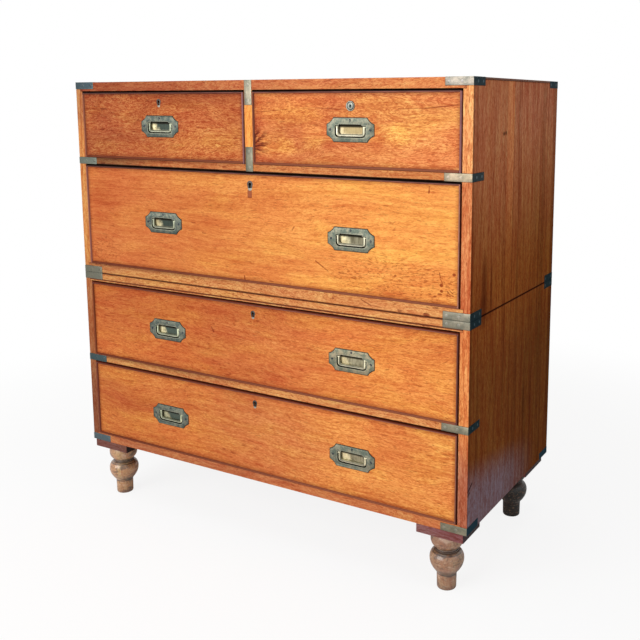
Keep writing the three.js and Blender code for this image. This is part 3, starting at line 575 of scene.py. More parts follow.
def rail_shade(wood):
    """The rail over the deep drawer is darker than the others, most of all at its left."""
    x, z = wood.x, wood.z
    rail = z.ramp(0.805, 0.806)
    wood.stain(rail * 0.75, (0.86, 0.78, 0.8))
    # Painted shade at the left end of the rail over the deep drawer
    wood.stain(rail * x.ramp(-0.2, -0.42) * 0.7, (0.2, 0.22, 0.33))
    wood.stain(z.ramp(0.8, 0.79), (1.0, 1.13, 1.19))
    wood.spots((0.36, 0.17, 0.17), (
        ((406.5, 555.3), (9, 5), 0.8), ((350, 556), (6, 3.4), 0.7), ((445, 566), (6, 2.4), 0.6),
        ((200, 564), (4, 2.2), 0.7),
    ), 0.8)
    wood.strokes((0.36, 0.17, 0.17), (
        ((265, 568.5), (285, 560), 1.5, 0.8), ((285, 560), (310, 557.5), 1.3, 0.6),
        ((420, 570), (430, 571.5), 1.6, 0.7), ((-10, 545.5), (-4, 542.5), 2, 0.7),
    ))
    # Painted shade in the gaps over the rails
    for low, thick, gap_shade in RAIL_GAPS:
        over = z - low
        wood.tint(over.band(-0.003, -0.002, thick - 0.0006, thick) * 0.9, gap_shade)
    # Painted shade under the drawer fronts at the left
    for sill in DRAWER_SILLS:
        under = z - sill
        sill_shade = under.band(-0.009, -0.001, 0.002, 0.004) * x.ramp(0.1, -0.25)
        wood.stain(sill_shade * 0.8, (0.5, 0.42, 0.42))


def base_shade(wood):
    """Corner blocks under the lowest board, darker and redder, black sides as painted shade."""
    x, z = wood.x, wood.z
    low = z.ramp(0.1366, 0.136)
    wood.tint(low * 0.9, wood.mix(x.ramp(-0.2, 0.2), (0.135, 0.062, 0.056), (0.19, 0.08, 0.098)))
    flank_shade = x.ramp(0.4872, 0.4878).most(abs(x + 0.388).ramp(0.0006, 0.0001))
    wood.tint(low * flank_shade * 0.9, (0.022, 0.02, 0.024))


FOOT_LINES = (
    # the height and half the width of each dark line at a turn
    (0.0315, 0.0016), (0.077, 0.001), (0.0808, 0.0013), (0.0832, 0.0012), (0.0862, 0.0013),
)


def foot_finish():
    """Golden brown with pale patches, partly rubbed and partly painted highlights, dark dents
    and dark lines at the turns; the feet at the back are nearly black, as painted shade."""
    wood = Wood("turned_foot_wood", "z", 5.0)
    x, y, z = wood.axes
    wood.laid((0.6, 0.335, 0.15), (0.42, 0.225, 0.105))
    wood.stain(x.ramp(-0.1, 0.3), (0.64, 0.62, 0.74))
    wood.grained(0.2, 0.3)
    foot_wear_and_glint = wood.noise((34.0, 34.0, 60.0), 4.0, 0.65, (1, 2, 3))
    wood.tint(foot_wear_and_glint.ramp(0.52, 0.62) * 0.7, (0.095, 0.058, 0.04))
    # Pale patches, partly rubbed wear and partly painted highlight
    wood.tint(foot_wear_and_glint.ramp(0.44, 0.34) * 0.5, (0.68, 0.5, 0.37))
    fine = wood.noise((150.0, 150.0, 260.0), 3.0, 0.65, (5, 1, 4))
    wood.tint(fine.ramp(0.56, 0.64) * 0.45, (0.07, 0.04, 0.03))
    wood.tint(fine.ramp(0.42, 0.34) * 0.25, (0.66, 0.48, 0.34))
    wood.tint(z.ramp(0.012, 0.0) * 0.6, (0.14, 0.08, 0.06))
    # The feet at the back are painted nearly black, as painted shade
    back = y.ramp(-0.05, 0.05)
    wood.tint(back * (0.98 - fine.ramp(0.48, 0.36) * 0.35), (0.024, 0.025, 0.024))
    neck = z.band(0.0755, 0.08, 0.0865, 0.091)
    under = z.band(0.03, 0.0335, 0.038, 0.05) * foot_wear_and_glint.ramp(0.4, 0.54)
    wood.tint(neck * 0.55 + under * 0.6, (0.06, 0.05, 0.038))
    for height, half in FOOT_LINES:
        wood.tint(abs(z - height).ramp(half, half * 0.3) * 0.85, (0.045, 0.024, 0.02))
    wood.gloss = 0.22 + foot_wear_and_glint * 0.25
    wood.set(Coat_IOR=1.8)
    return wood.done(0.0002, 0.6 - back * 0.5, 0.2)


STRAP_TONES = (
    # the middle of each strap in millimetres and how much darker its brass is
    ((0, 966.7), (0.85, 0.79, 0.76)), ((0, 831.7), (0.82, 0.82, 0.81)),
    ((460, 984.2), (0.79, 0.74, 0.81)), ((460, 551.5), (0.77, 0.74, 0.75)),
    ((-460, 984.2), (0.83, 0.89, 0.96)), ((-460, 814.2), (0.98, 0.9, 0.77)),
    ((-460, 551.5), (1.12, 0.89, 0.71)), ((-460, 343.8), (0.84, 0.98, 0.99)),
    ((-460, 143.8), (0.69, 0.78, 0.9)),
)


def brass_finish(name, clean, tarnish, dark, share, gloss, left=None, flank_shade=None):
    """Old brass: tarnish in patches, dark specks and rubbed arrises. As painted shade, the left
    end of the chest, the lower straps and the legs of the straps on its sides may be darker."""
    brass = Finish(name)
    x, z = brass.x, brass.z
    cloud = brass.noise(45.0, 5.0, 0.65)
    speck = brass.noise(420.0, 2.0, 0.5, (3, 1, 2))
    scuff = brass.noise((60.0, 60.0, 900.0), 2.0, 0.5)
    brass.colour = brass.mix(cloud.ramp(0.36, 0.62) * share, clean, tarnish)
    if left:
        # Darker on the lower case, on the centre straps and towards the left end, as painted
        # shade
        lower = z.ramp(0.6, 0.5)
        centre = abs(x).ramp(0.03, 0.02) * z.ramp(0.95, 0.86)
        brass.stain(lower.most(centre) * 0.85, (0.56, 0.54, 0.5))
        brass.tint(x.ramp(0.1, -0.45) * 0.9, left)
        worst = z.ramp(0.97, 0.98).most(z.band(0.3, 0.32, 0.355, 0.36))
        brass.stain(worst * x.ramp(-0.3, -0.4) * 0.9, (0.42, 0.48, 0.54))
        warm = x.ramp(0.3, 0.4) * z.band(0.78, 0.8, 0.83, 0.84)
        brass.stain(warm, (1.0, 0.84, 0.76))
        for place, tone in STRAP_TONES:
            near = brass.spot(x, z, place, (80, 50)).ramp(0.0, 0.3)
            brass.stain(near, tone)
        brass.tint(abs(z - CASE_JOINT).ramp(0.0012, 0.0004) * 0.8, (0.02, 0.025, 0.025))
    brass.tint(speck.ramp(0.6, 0.72) * 0.6, dark)
    brass.tint(brass.marked("arris") * 0.4, clean)
    metallic = 0.85
    # The legs of the straps on the sides are painted dark, as painted shade
    if flank_shade:
        side = abs(x).ramp(SIDE_PLANE - 0.0002, SIDE_PLANE + 0.0001)
        brass.tint(side * (0.85 + cloud * 0.15), flank_shade)
        brass.stain(side * z.ramp(0.8, 0.6) * 0.8, (0.42, 0.5, 0.52))
        brass.tint(side * z.ramp(0.3, 0.2), (0.02, 0.046, 0.064))
        metallic = 0.85 - side * 0.85
    brass.set(Specular_IOR_Level=0.0)
    rough = gloss + cloud * 0.18 + scuff * 0.08
    return brass.metal(cloud * 0.5 + speck * 0.5, 0.00012, rough, metallic)


def plate_finish():
    """The handle plates: tarnished blue-green at the left of the chest, greyer at the right,
    with a dark outline and a black wall round the dish, both painted shade."""
    brass = Finish("handle_plate_brass")
    x, z = brass.x, brass.z
    across, up = brass.seat()
    cloud = brass.noise(90.0, 5.0, 0.68)
    speck = brass.noise(380.0, 2.0, 0.5, (3, 1, 2))
    worn = x.ramp(-0.15, 0.15)
    clean = brass.mix(worn, (0.16, 0.165, 0.125), (0.245, 0.235, 0.17))
    stale = brass.mix(worn, (0.07, 0.09, 0.078), (0.115, 0.14, 0.11))
    brass.colour = brass.mix(cloud.ramp(0.38, 0.6), clean, stale)
    warm = brass.spot(x, z, (242, 440), (90, 60))
    brass.stain(warm * 0.6, (1.5, 1.25, 1.05))
    brass.tint(speck.ramp(0.58, 0.7) * 0.6, (0.05, 0.065, 0.06))
    brass.tint(speck.ramp(0.4, 0.3) * 0.5, (0.34, 0.33, 0.25))
    # The rim is a painted shadow line outside, lighter round the pan
    inner = abs(across).ramp(0.039, 0.037) * abs(up + 0.0021).ramp(0.0175, 0.0155)
    line = brass.mix(inner, (0.022, 0.026, 0.022), (0.32, 0.32, 0.24))
    brass.tint(brass.marked("rim").most(brass.marked("arris")) * (0.85 - inner * 0.4), line)
    wall_shade = brass.behind(0.0002, 0.0012)
    brass.tint(wall_shade, (0.01, 0.009, 0.007))
    rough = 0.44 + cloud * 0.2 + wall_shade * 0.25
    return brass.metal(cloud * 0.5 + speck * 0.5, 0.00012, rough)


def bail_finish():
    """The bails: rubbed brass, darker towards the pan on their inner side."""
    brass = Finish("bail_brass")
    across, up = brass.seat()
    cloud = brass.noise(60.0, 4.0, 0.6)
    brass.colour = brass.mix(cloud.ramp(0.38, 0.62), (0.72, 0.67, 0.48), (0.44, 0.42, 0.3))
    brass.stain(brass.z.ramp(0.56, 0.52), (1.25, 1.25, 1.2))
    brass.stain(brass.x.ramp(0.1, -0.1) * 0.9, (0.86, 1.0, 0.98))
    inner = abs(across).ramp(0.03, 0.0284) * up.ramp(-0.0118, -0.01)
    brass.tint(inner * 0.8, (0.075, 0.07, 0.048))
    brass.tint(up.ramp(-0.0095, -0.0115) * 0.45, (0.34, 0.31, 0.26))
    return brass.metal(cloud, 0.0001, 0.28 + cloud * 0.14)


def dish_finish():
    """The bottom of the pan, painted with its reflection: gold at its left, dim at its right,
    and black round the rim as painted shade. The pans at the left of the chest are the darkest,
    the upper right is a dimmer gold all across, and a painted highlight runs along the foot."""
    brass = Finish("handle_dish_brass")
    x, z = brass.x, brass.z
    across, up = brass.seat()
    cloud = brass.noise(70.0, 5.0, 0.65)
    speck = brass.noise(300.0, 2.0, 0.5, (1, 1, 2))
    wipe = brass.noise((260.0, 50.0, 50.0), 3.0, 0.6)
    # A painted reflection: gold at the left and dim at the right, across a slanting edge
    gold = brass.mix(cloud.ramp(0.4, 0.62), (0.86, 0.77, 0.47), (0.6, 0.5, 0.28))
    dim_reflection = brass.mix(wipe.ramp(0.4, 0.6), (0.21, 0.19, 0.125), (0.145, 0.13, 0.082))
    dim_reflection = brass.mix(x.ramp(0.1, -0.1), dim_reflection, (0.045, 0.06, 0.048))
    edge = across + up * 0.45 + (cloud - 0.5) * 0.024
    brass.colour = brass.mix(edge.ramp(-0.022, -0.004), gold, dim_reflection)
    clean = z.ramp(0.74, 0.84) * x.ramp(-0.1, 0.1)
    bright = brass.mix(edge.ramp(-0.03, -0.01), (0.42, 0.345, 0.205), (0.225, 0.172, 0.084))
    brass.tint(clean, bright)
    # On the lower rows the dim part of the painted reflection is lighter; the lowest pans at the
    # left have dimmer gold
    lower = z.ramp(0.56, 0.52) * edge.ramp(-0.022, -0.004)
    brass.stain(lower, (1.65, 1.65, 1.65))
    last = z.ramp(0.32, 0.28) * x.ramp(0.1, -0.1)
    brass.stain(last * edge.ramp(-0.004, -0.022), (0.52, 0.56, 0.58))
    brass.stain(wipe.ramp(0.5, 0.64) * 0.45, (0.6, 0.55, 0.48))
    # A painted highlight along the foot of the dish
    brass.tint(up.ramp(-0.0065, -0.0085) * 0.35, (0.5, 0.45, 0.33))
    brass.tint(speck.ramp(0.62, 0.72) * 0.5, (0.12, 0.1, 0.06))
    # Painted shade round the rim and under the top edge of the plate
    rim = across.ramp(0.027, 0.029).most(across.ramp(-0.0328, -0.034))
    rim = rim.most(up.ramp(-0.0118, -0.0132)).most(up.ramp(0.003, 0.0068))
    brass.tint(rim * 0.95, (0.016, 0.014, 0.009))
    rough = 0.26 + cloud * 0.16 + rim * 0.4
    return brass.metal(cloud * 0.6 + speck * 0.4, 0.0002, rough, 0.9)


def keyhole_finish():
    """Keyhole plates: dark brass with a painted highlight on the lower tip."""
    brass = Finish("keyhole_brass")
    up = brass.seat()[1]
    cloud = brass.noise(160.0, 4.0, 0.6)
    brass.colour = brass.mix(cloud.ramp(0.38, 0.62), (0.07, 0.064, 0.056), (0.03, 0.028, 0.025))
    brass.tint(brass.z.band(0.74, 0.76, 0.8, 0.82) * 0.8, (0.09, 0.076, 0.066))
    # Painted highlight on the lower tip
    brass.tint(up.ramp(-0.007, -0.0092) * 0.75, (0.44, 0.42, 0.36))
    # The walls of the hole are painted black, as painted shade
    wall_shade = brass.behind(0.0001, 0.0006)
    brass.tint(wall_shade, (0.015, 0.012, 0.01))
    return brass.metal(cloud, 0.0001, 0.4 + cloud * 0.15)


def escutcheon_finish():
    """The round escutcheon: a pale rim, a dark groove and a blue-grey middle."""
    brass = Finish("escutcheon_brass")
    across, up = brass.seat()
    cloud = brass.noise(160.0, 4.0, 0.6)
    out = (across * across + up * up) * 1e6
    brass.colour = brass.mix(cloud.ramp(0.38, 0.62), (0.44, 0.43, 0.36), (0.26, 0.27, 0.23))
    # The groove is darker at its lower right, as painted shade
    low_right = (across - up).ramp(-0.004, 0.006)
    groove = out.band(34.0, 42.0, 58.0, 66.0)
    brass.tint(groove * (0.6 + low_right * 0.35), (0.03, 0.032, 0.03))
    brass.tint(out.ramp(30.0, 12.0) * 0.85, (0.12, 0.14, 0.13))
    brass.tint(out.ramp(76.0, 84.0) * 0.85, (0.03, 0.028, 0.024))
    # The walls of the hole are painted black, as painted shade
    wall_shade = brass.behind(0.0004, 0.001)
    brass.tint(wall_shade, (0.015, 0.012, 0.01))
    return brass.metal(cloud, 0.0001, 0.36 + cloud * 0.15)


# Making pieces

TO_FRONT = (math.pi / 2, 0, 0)
ALONG_Y = 1
ALONG_Z = 2


def choose(*chosen):
    bpy.ops.object.select_all(action="DESELECT")
    for piece in chosen:
        piece.select_set(True)
    bpy.context.view_layer.objects.active = chosen[0]


def shaped(piece, name):
    """Names a modelled piece and puts its place into its mesh."""
    choose(piece)
    bpy.ops.object.transform_apply(location=True, rotation=True, scale=True)
    piece.name = piece.data.name = name
    return piece


def primitive(add, name, scale=(1, 1, 1), **settings):
    """A simple mesh, from the operator that adds it, its size and its settings."""
    bpy.ops.object.select_all(action="DESELECT")
    add(**settings)
    bpy.context.object.scale = scale
    return shaped(bpy.context.object, name)


def modified(piece, kind, **settings):
    choose(piece)
    modifier = piece.modifiers.new(kind.lower(), kind)
    for key, value in settings.items():
        setattr(modifier, key, value)
    bpy.ops.object.modifier_apply(modifier=modifier.name)


def cut(piece, *cutters):
    for cutter in cutters:
        modified(piece, "BOOLEAN", operation="DIFFERENCE", object=cutter, solver="EXACT")


def removed(*pieces):
    for piece in pieces:
        bpy.data.objects.remove(piece)


def smoothed(piece, angle=35):
    choose(piece)
    bpy.ops.object.shade_smooth_by_angle(angle=math.radians(angle))


def given(piece, material, body, slot, *replaced):
    """Gives a piece its material and body, and hides the nodes that it stands for."""
    piece.data.materials.clear()
    piece.data.materials.append(material)
    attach(piece, body)
    if replaced:
        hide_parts(*replaced)
    return piece


def mark_arrises(piece):
    """Marks the narrow faces that ease an edge, so that materials can wear them."""
    mark = piece.data.attributes.new("arris", "FLOAT", "FACE")
    for face in piece.data.polygons:
        flat = max(abs(part) for part in face.normal)
        mark.data[face.index].value = 0.0 if flat > 0.995 else 1.0


def outlined(piece, width):
    """Parts a narrow rim from the front faces of a piece, for a painted shadow line."""
    choose(piece)
    for face in piece.data.polygons:
        face.select = face.normal.y < -0.999
    fronts = sum(face.area for face in piece.data.polygons if face.select)
    bpy.ops.object.mode_set(mode="EDIT")
    bpy.ops.mesh.select_mode(type="FACE")
    bpy.ops.mesh.inset(thickness=width, use_even_offset=True)
    bpy.ops.object.mode_set(mode="OBJECT")
    mark = piece.data.attributes.new("rim", "FLOAT", "FACE")
    for face in piece.data.polygons:
        rim = face.normal.y < -0.999 and not face.select and face.area < fronts / 10
        mark.data[face.index].value = 1.0 if rim else 0.0


def dressed(node, material, slot, ease, rounds=2, angle=35):
    """A copy of a CAD node with its arrises eased, which stands for the node."""
    source = nodes[node]
    piece = bpy.data.objects.new(node + "_dressed", source.data.copy())
    bpy.context.scene.collection.objects.link(piece)
    choose(piece)
    bpy.ops.mesh.customdata_custom_splitnormals_clear()
    bpy.ops.object.mode_set(mode="EDIT")
    bpy.ops.mesh.select_all(action="SELECT")
    bpy.ops.mesh.remove_doubles(threshold=0.00001)
    bpy.ops.mesh.dissolve_limited(angle_limit=math.radians(0.6))
    bpy.ops.object.mode_set(mode="OBJECT")
    modified(piece, "BEVEL", width=ease, segments=rounds, limit_method="ANGLE",
             angle_limit=math.radians(50))
    mark_arrises(piece)
    smoothed(piece, angle)
    modified(piece, "WEIGHTED_NORMAL", keep_sharp=True, weight=100)
    return given(piece, material, body_of[node], slot, node)


def copied(piece, name, move, turn=(0, 0, 0)):
    """A copy with a mesh of its own, turned about the origin and then moved."""
    copy = bpy.data.objects.new(name, piece.data.copy())
    bpy.context.scene.collection.objects.link(copy)
    copy.location, copy.rotation_euler = move, turn
    return shaped(copy, name)


def joined(name, pieces):
    choose(*pieces)
    bpy.ops.object.join()
    return shaped(bpy.context.view_layer.objects.active, name)


# The slotted screw that all the brass is fixed with, pointing at -Y from the origin
FACINGS = {"front": 0.0, "right": math.pi / 2, "left": -math.pi / 2}
SCREW_DEPTH = 0.0014
SLOT_HALF = 0.00035
SINK_DEPTH = 0.0008


def screw_model(head, proud):
    screw = primitive(
        bpy.ops.mesh.primitive_cylinder_add, "screw_model", vertices=20, radius=head,
        depth=SCREW_DEPTH, rotation=TO_FRONT, location=(0, SCREW_DEPTH / 2 - proud, 0))
    modified(screw, "BEVEL", width=0.00018, segments=2, limit_method="ANGLE")
    slot = primitive(bpy.ops.mesh.primitive_cube_add, "screw_slot",
                     (head * 1.4, SLOT_HALF, SLOT_HALF), location=(0, -proud, 0))
    cut(screw, slot)
    removed(slot)
    smoothed(screw)
    return screw


def sink_model(radius):
    """What is cut out of the brass for a screw head: a shallow countersink."""
    return primitive(
        bpy.ops.mesh.primitive_cone_add, "sink_model", vertices=24, depth=SINK_DEPTH,
        radius1=radius + SINK_DEPTH / 2, radius2=radius - SINK_DEPTH / 2,
        rotation=(-math.pi / 2, 0, 0))


def spread(name, model, places):
    """Copies of a model as one piece: each place is a point, the way that the front of
    the model faces there, and its turn in degrees."""
    return joined(name, [
        copied(model, f"{name}_{index}", point, (0, math.radians(turn), FACINGS[facing]))
        for index, (point, facing, turn) in enumerate(places)
    ])


def screws(name, body, slot, material, model, places):
    piece = spread(name, model, places)
    mark_arrises(piece)
    return given(piece, material, body, slot)


def seated(piece, centre):
    """Notes for each point of a piece where it lies from the middle of its handle."""
    seat = piece.data.attributes.new("seat", "FLOAT_VECTOR", "POINT")
    for vertex in piece.data.vertices:
        seat.data[vertex.index].vector = vertex.co - centre


def drawn(rows, axis, centre=(0, 0, 0)):
    """Draws the chosen outline along an axis, through rows of a width and a place."""
    (wide, place), *further = rows
    for wider, end in further:
        move, grow = Vector(), Vector((1, 1, 1)) * (wider / wide)
        move[axis], grow[axis] = end - place, 1
        bpy.ops.mesh.extrude_region_move(TRANSFORM_OT_translate={"value": move})
        bpy.ops.transform.resize(value=grow, center_override=centre)
        wide, place = wider, end


def turned(name, sides, rows, axis):
    """A round piece, through rows of a radius and a place on its axis in millimetres."""
    rows = [(radius * MM, place * MM) for radius, place in rows]
    start = Vector()
    start[axis] = rows[0][1]
    piece = primitive(
        bpy.ops.mesh.primitive_circle_add, name, vertices=sides, radius=rows[0][0],
        fill_type="NGON", rotation=TO_FRONT if axis == ALONG_Y else (0, 0, 0), location=start)
    bpy.ops.object.mode_set(mode="EDIT")
    drawn(rows, axis)
    bpy.ops.mesh.select_all(action="SELECT")
    bpy.ops.mesh.normals_make_consistent(inside=False)
    bpy.ops.object.mode_set(mode="OBJECT")
    return piece


FOOT_PROFILE = (
    # radius and height of each turn of a foot, from the sole up
    (15, 0), (17.2, 0), (18.4, 0.6), (19.2, 2.2), (19.4, 8), (19.5, 16), (19.7, 24),
    (19.8, 31.2), (20, 31.8), (20.2, 32.8), (21.3, 34.5), (22.9, 36.7), (24.9, 39.2),
    (27.1, 42.1), (29.2, 45.4), (31.2, 49.1), (32.8, 53.3), (33.9, 57.9), (34.3, 63),
    (33.8, 68), (32.3, 72.3), (30, 76), (27.2, 78.7), (24.4, 80.3), (23.8, 80.6),
    (24, 81.1), (24, 82.6), (23.6, 83), (22.2, 83.2), (22, 83.6), (22, 85.6), (22.8, 86.4),
    (25, 87.8), (27.8, 90.3), (30, 93.3), (31.3, 96.1), (32.3, 99.5), (32.6, 102.9),
    (32.5, 107), (31.9, 110.5), (30.8, 114.5), (29.7, 117.4), (29, 118.4), (27, 118.5),
)
# The dish in the pan of a handle: shares of its size and depths behind the drawer front
DISH_SIZE = (0.0684, 0.0249)
DISH_DROP = 0.0021
DISH_CORNER = 0.008
DISH_TURNS = (
    (1.0, 0.0046), (0.985, 0.0062), (0.955, 0.008), (0.905, 0.0096), (0.835, 0.0107),
    (0.74, 0.0114), (0.6, 0.0119), (0.42, 0.01215), (0.22, 0.0123),
)


def dish_model():
    dish = primitive(bpy.ops.mesh.primitive_plane_add, "dish_model", (*DISH_SIZE, 1), size=1,
                     rotation=TO_FRONT)
    bpy.ops.object.mode_set(mode="EDIT")
    bpy.ops.mesh.select_all(action="SELECT")
    bpy.ops.mesh.bevel(offset=DISH_CORNER, segments=6, affect="VERTICES")
    bpy.ops.transform.translate(value=(0, DISH_TURNS[0][1], -DISH_DROP))
    drawn(DISH_TURNS, ALONG_Y, (0, 0, -DISH_DROP))
    bpy.ops.object.mode_set(mode="OBJECT")
    smoothed(dish, 60)
    return dish


# Keyhole plates, seen from the middle of the round part of the hole
KEYHOLE_PLATE = (0.006, 0.0084, 0.62, 0.0028, 0.0015, 0.0078)
WIDE_KEYHOLE = (0.0074, 0.0082, 0.72, 0.0035, 0.0021, 0.008)
KEYHOLE_DEPTH = 0.005
KEYHOLE_MIDDLE = 0.0022


def keyhole_model(radius, drop, share, bore, half, slot):
    """A plate, from its radius, drop and the share of the radius at its foot, with its
    hole, from the radius of the bore and the half width and drop of the slot."""
    plate = primitive(
        bpy.ops.mesh.primitive_cylinder_add, "keyhole_model", vertices=40, radius=radius,
        depth=KEYHOLE_DEPTH, rotation=TO_FRONT, location=(0, KEYHOLE_MIDDLE, 0))
    bpy.ops.object.mode_set(mode="EDIT")
    bpy.ops.mesh.select_all(action="DESELECT")
    bpy.ops.object.mode_set(mode="OBJECT")
    for vertex in plate.data.vertices:
        vertex.select = vertex.co.z < -0.0001
    bpy.ops.object.mode_set(mode="EDIT")
    bpy.ops.transform.resize(value=(share, 1, share), center_override=(0, 0, 0))
    bpy.ops.transform.translate(value=(0, 0, -drop))
    bpy.ops.object.mode_set(mode="OBJECT")
    modified(plate, "BEVEL", width=0.0003, segments=2, limit_method="ANGLE")
    bored(plate, bore, half, slot)
    return plate


def bored(plate, bore, half, slot):
    """Cuts a keyhole through a plate."""
    through = 0.02
    hole = primitive(
        bpy.ops.mesh.primitive_cylinder_add, "keyhole_round", vertices=24, radius=bore,
        depth=through, rotation=TO_FRONT)
    tail = primitive(bpy.ops.mesh.primitive_cube_add, "keyhole_slot",
                     (half * 2, through, slot), size=1, location=(0, 0, -slot / 2))
    cut(plate, hole, tail)
    removed(hole, tail)
    smoothed(plate)


ESCUTCHEON_PROFILE = (
    # radius and depth behind the crest of the round escutcheon, from the back over the rim
    (9.5, 2.2), (9.5, 0.7), (9.35, 0.3), (9, 0), (8.4, 0), (8, 0.4), (7.6, 0.9), (7, 1.1),
    (6.4, 0.9), (5.9, 0.4), (5.2, 0.1), (4.2, 0), (3, 0.1),
)


def block(name, low, high, ease, rounds=3):
    """A small metal block with eased arrises."""
    low, high = Vector(low), Vector(high)
    piece = primitive(bpy.ops.mesh.primitive_cube_add, name, high - low, size=1,
                      location=(low + high) / 2)
    modified(piece, "BEVEL", width=ease, segments=rounds, limit_method="ANGLE")
    mark_arrises(piece)
    smoothed(piece)
    return piece


# Camera, lights and floor

def add_camera():
    bpy.ops.object.camera_add(location=CAMERA_PLACE, rotation=(
        math.radians(90 + CAMERA_PITCH), 0, math.radians(CAMERA_YAW)))
    camera = bpy.context.object
    camera.data.lens = CAMERA_LENS
    camera.data.shift_x, camera.data.shift_y = CAMERA_SHIFT
    bpy.context.scene.camera = camera


def add_light(name, place, target, size, power, colour=(1, 1, 1)):
    bpy.ops.object.light_add(type="AREA", location=place)
    light = bpy.context.object
    light.name = name
    light.data.shape = "RECTANGLE"
    light.data.size, light.data.size_y = size
    light.data.energy = power
    light.data.color = colour
    aim = Vector(target) - Vector(place)
    light.rotation_euler = aim.to_track_quat("-Z", "Y").to_euler()


def add_world():
    """Soft light from all round, which the camera and polished metal see as white."""
    world = bpy.data.worlds.new("studio")
    bpy.context.scene.world = world
    writer = Writer(world)
    soft = writer.tree.nodes["Background"]
    writer.feed(soft.inputs["Color"], (1.0, 0.98, 0.96))
    writer.feed(soft.inputs["Strength"], 0.42)
    white = writer.node("Background", {}, {"Color": (1, 1, 1)})
    rays = writer.node("LightPath").outputs
    seen = Value(writer, rays["Is Camera Ray"])
    for ray in ("Is Glossy Ray", "Is Transmission Ray"):
        seen = seen.most(Value(writer, rays[ray]))
    blend = writer.node("MixShader", {}, {0: seen, 1: soft.outputs[0], 2: white.outputs[0]})
    writer.feed(writer.tree.nodes["World Output"].inputs["Surface"], blend.outputs[0])


def add_floor():
    floor = primitive(bpy.ops.mesh.primitive_plane_add, "studio_floor", size=16)
    finish = Finish("studio_floor")
    glow = finish.node("Emission", {}, {"Color": (1, 1, 1), "Strength": 1.0})
    rays = finish.node("LightPath")
    far = (finish.x * finish.x + finish.y * finish.y).ramp(0.7, 3.0)
    blend = finish.node("MixShader", {}, {
        0: Value(finish, rays.outputs["Is Camera Ray"]) * (0.86 + far * 0.14),
        1: finish.surface.outputs[0], 2: glow.outputs[0],
    })
    finish.feed(finish.tree.nodes["Material Output"].inputs["Surface"], blend.outputs[0])
    finish.set(Base_Color=(0.95, 0.95, 0.95), Roughness=0.9, Specular_IOR_Level=0.0)
    floor.data.materials.append(finish.material)


add_camera()
add_world()
add_floor()
add_light("key_light", (-1.15, -3.3, 1.75), (0, 0, 0.55), (2.6, 2.4), 88)
add_light("top_light", (0.0, -0.4, 3.4), (0, 0, 0.5), (2.4, 2.4), 26)
add_light("right_light", (3.2, 0.2, 1.8), (0, 0, 0.5), (1.8, 1.8), 7)
bpy.context.scene.view_settings.view_transform = "Standard"

# Case boards
SIDE_WOOD = case_finish("side_wood", (0.55, 0.195, 0.087), (0.55, 0.195, 0.087),
                        (0.4, 0.132, 0.064), "z", 1.0, (0.5, 0.55, 0.2, 0.65, 0.2),
                        side_shade, 0.0, 0.03)
TOP_WOOD = case_finish("top_board_wood", (0.36, 0.092, 0.036), (0.79, 0.266, 0.088),
                       (0.3, 0.078, 0.029), "x", 2.0, (0.6, 0.55), top_shade)
RAIL_WOOD = case_finish("rail_wood", (0.57, 0.228, 0.066), (0.75, 0.285, 0.09),
                        (0.44, 0.142, 0.052), "x", 3.0, (0.5, 0.7, 0.15, 0.5, 0.3),
                        rail_shade)
BASE_WOOD = case_finish("base_board_wood", (0.5, 0.165, 0.062), (0.62, 0.205, 0.07),
                        (0.36, 0.11, 0.05), "x", 4.0, (0.5, 0.45), base_shade)
DIVIDER_WOOD = case_finish("divider_wood", (0.87, 0.35, 0.078), (0.87, 0.35, 0.078),
                           (0.74, 0.25, 0.062), "z", 6.0, (0.3, 0.25))
BACK_WOOD = case_finish("back_wood", (0.26, 0.115, 0.055), (0.26, 0.115, 0.055),
                        (0.15, 0.06, 0.03), "x", 7.0, (0.4, 0.5))

BOARDS = {
    SIDE_WOOD: ("upper_left_side", "upper_right_side", "lower_left_side", "lower_right_side"),
    TOP_WOOD: ("upper_top_board",),
    RAIL_WOOD: ("upper_dust_board", "upper_bottom_board", "lower_top_board",
                "lower_dust_board"),
    BASE_WOOD: ("lower_bottom_board",),
    DIVIDER_WOOD: ("short_drawer_divider",),
    BACK_WOOD: ("upper_back_panel", "lower_back_panel"),
}
for material, boards in BOARDS.items():
    for node in boards:
        slot = "back_wood" if material == BACK_WOOD else "case_wood"
        dressed(node, material, slot, ease=0.0006)

# Drawers: the left tone, the right tone (lighter partly as painted sheen), the dark tone and
# the seed, then how strong the flecks, the dashes, the clouds, the bands and the changes of
# hue are
FRONT_TONES = {
    "top_left_drawer": ((0.49, 0.146, 0.043), (0.55, 0.164, 0.046), (0.38, 0.102, 0.036),
                        1.3, (0.8, 0.6, 0.25, 0.3, 0.5)),
    "top_right_drawer": ((0.76, 0.27, 0.069), (0.86, 0.325, 0.096), (0.62, 0.188, 0.06),
                         2.6, (0.62, 0.35, 0.4, 0.3, 0.6)),
    "deep_drawer": ((0.56, 0.168, 0.047), (0.96, 0.402, 0.092), (0.54, 0.155, 0.043),
                    3.9, (0.34, 0.45, 0.08, 0.4, 0.35), 0.06),
    "third_drawer": ((0.56, 0.163, 0.038), (0.84, 0.294, 0.071), (0.51, 0.145, 0.037),
                     5.2, (0.46, 0.5, 0.15, 0.35, 0.5), 0.08),
    "bottom_drawer": ((0.58, 0.182, 0.042), (0.88, 0.345, 0.087), (0.51, 0.15, 0.039),
                      6.5, (0.46, 0.5, 0.15, 0.35, 0.5), 0.08),
}
lining = Wood("lining_wood", "y", 8.0)
lining.laid((0.6, 0.38, 0.21), (0.46, 0.27, 0.14))
lining.grained(0.25, 0.25)
lining.gloss = 0.62 + lining.streak * 0.15
LINING_WOOD = lining.done(0.0003, 0.0)
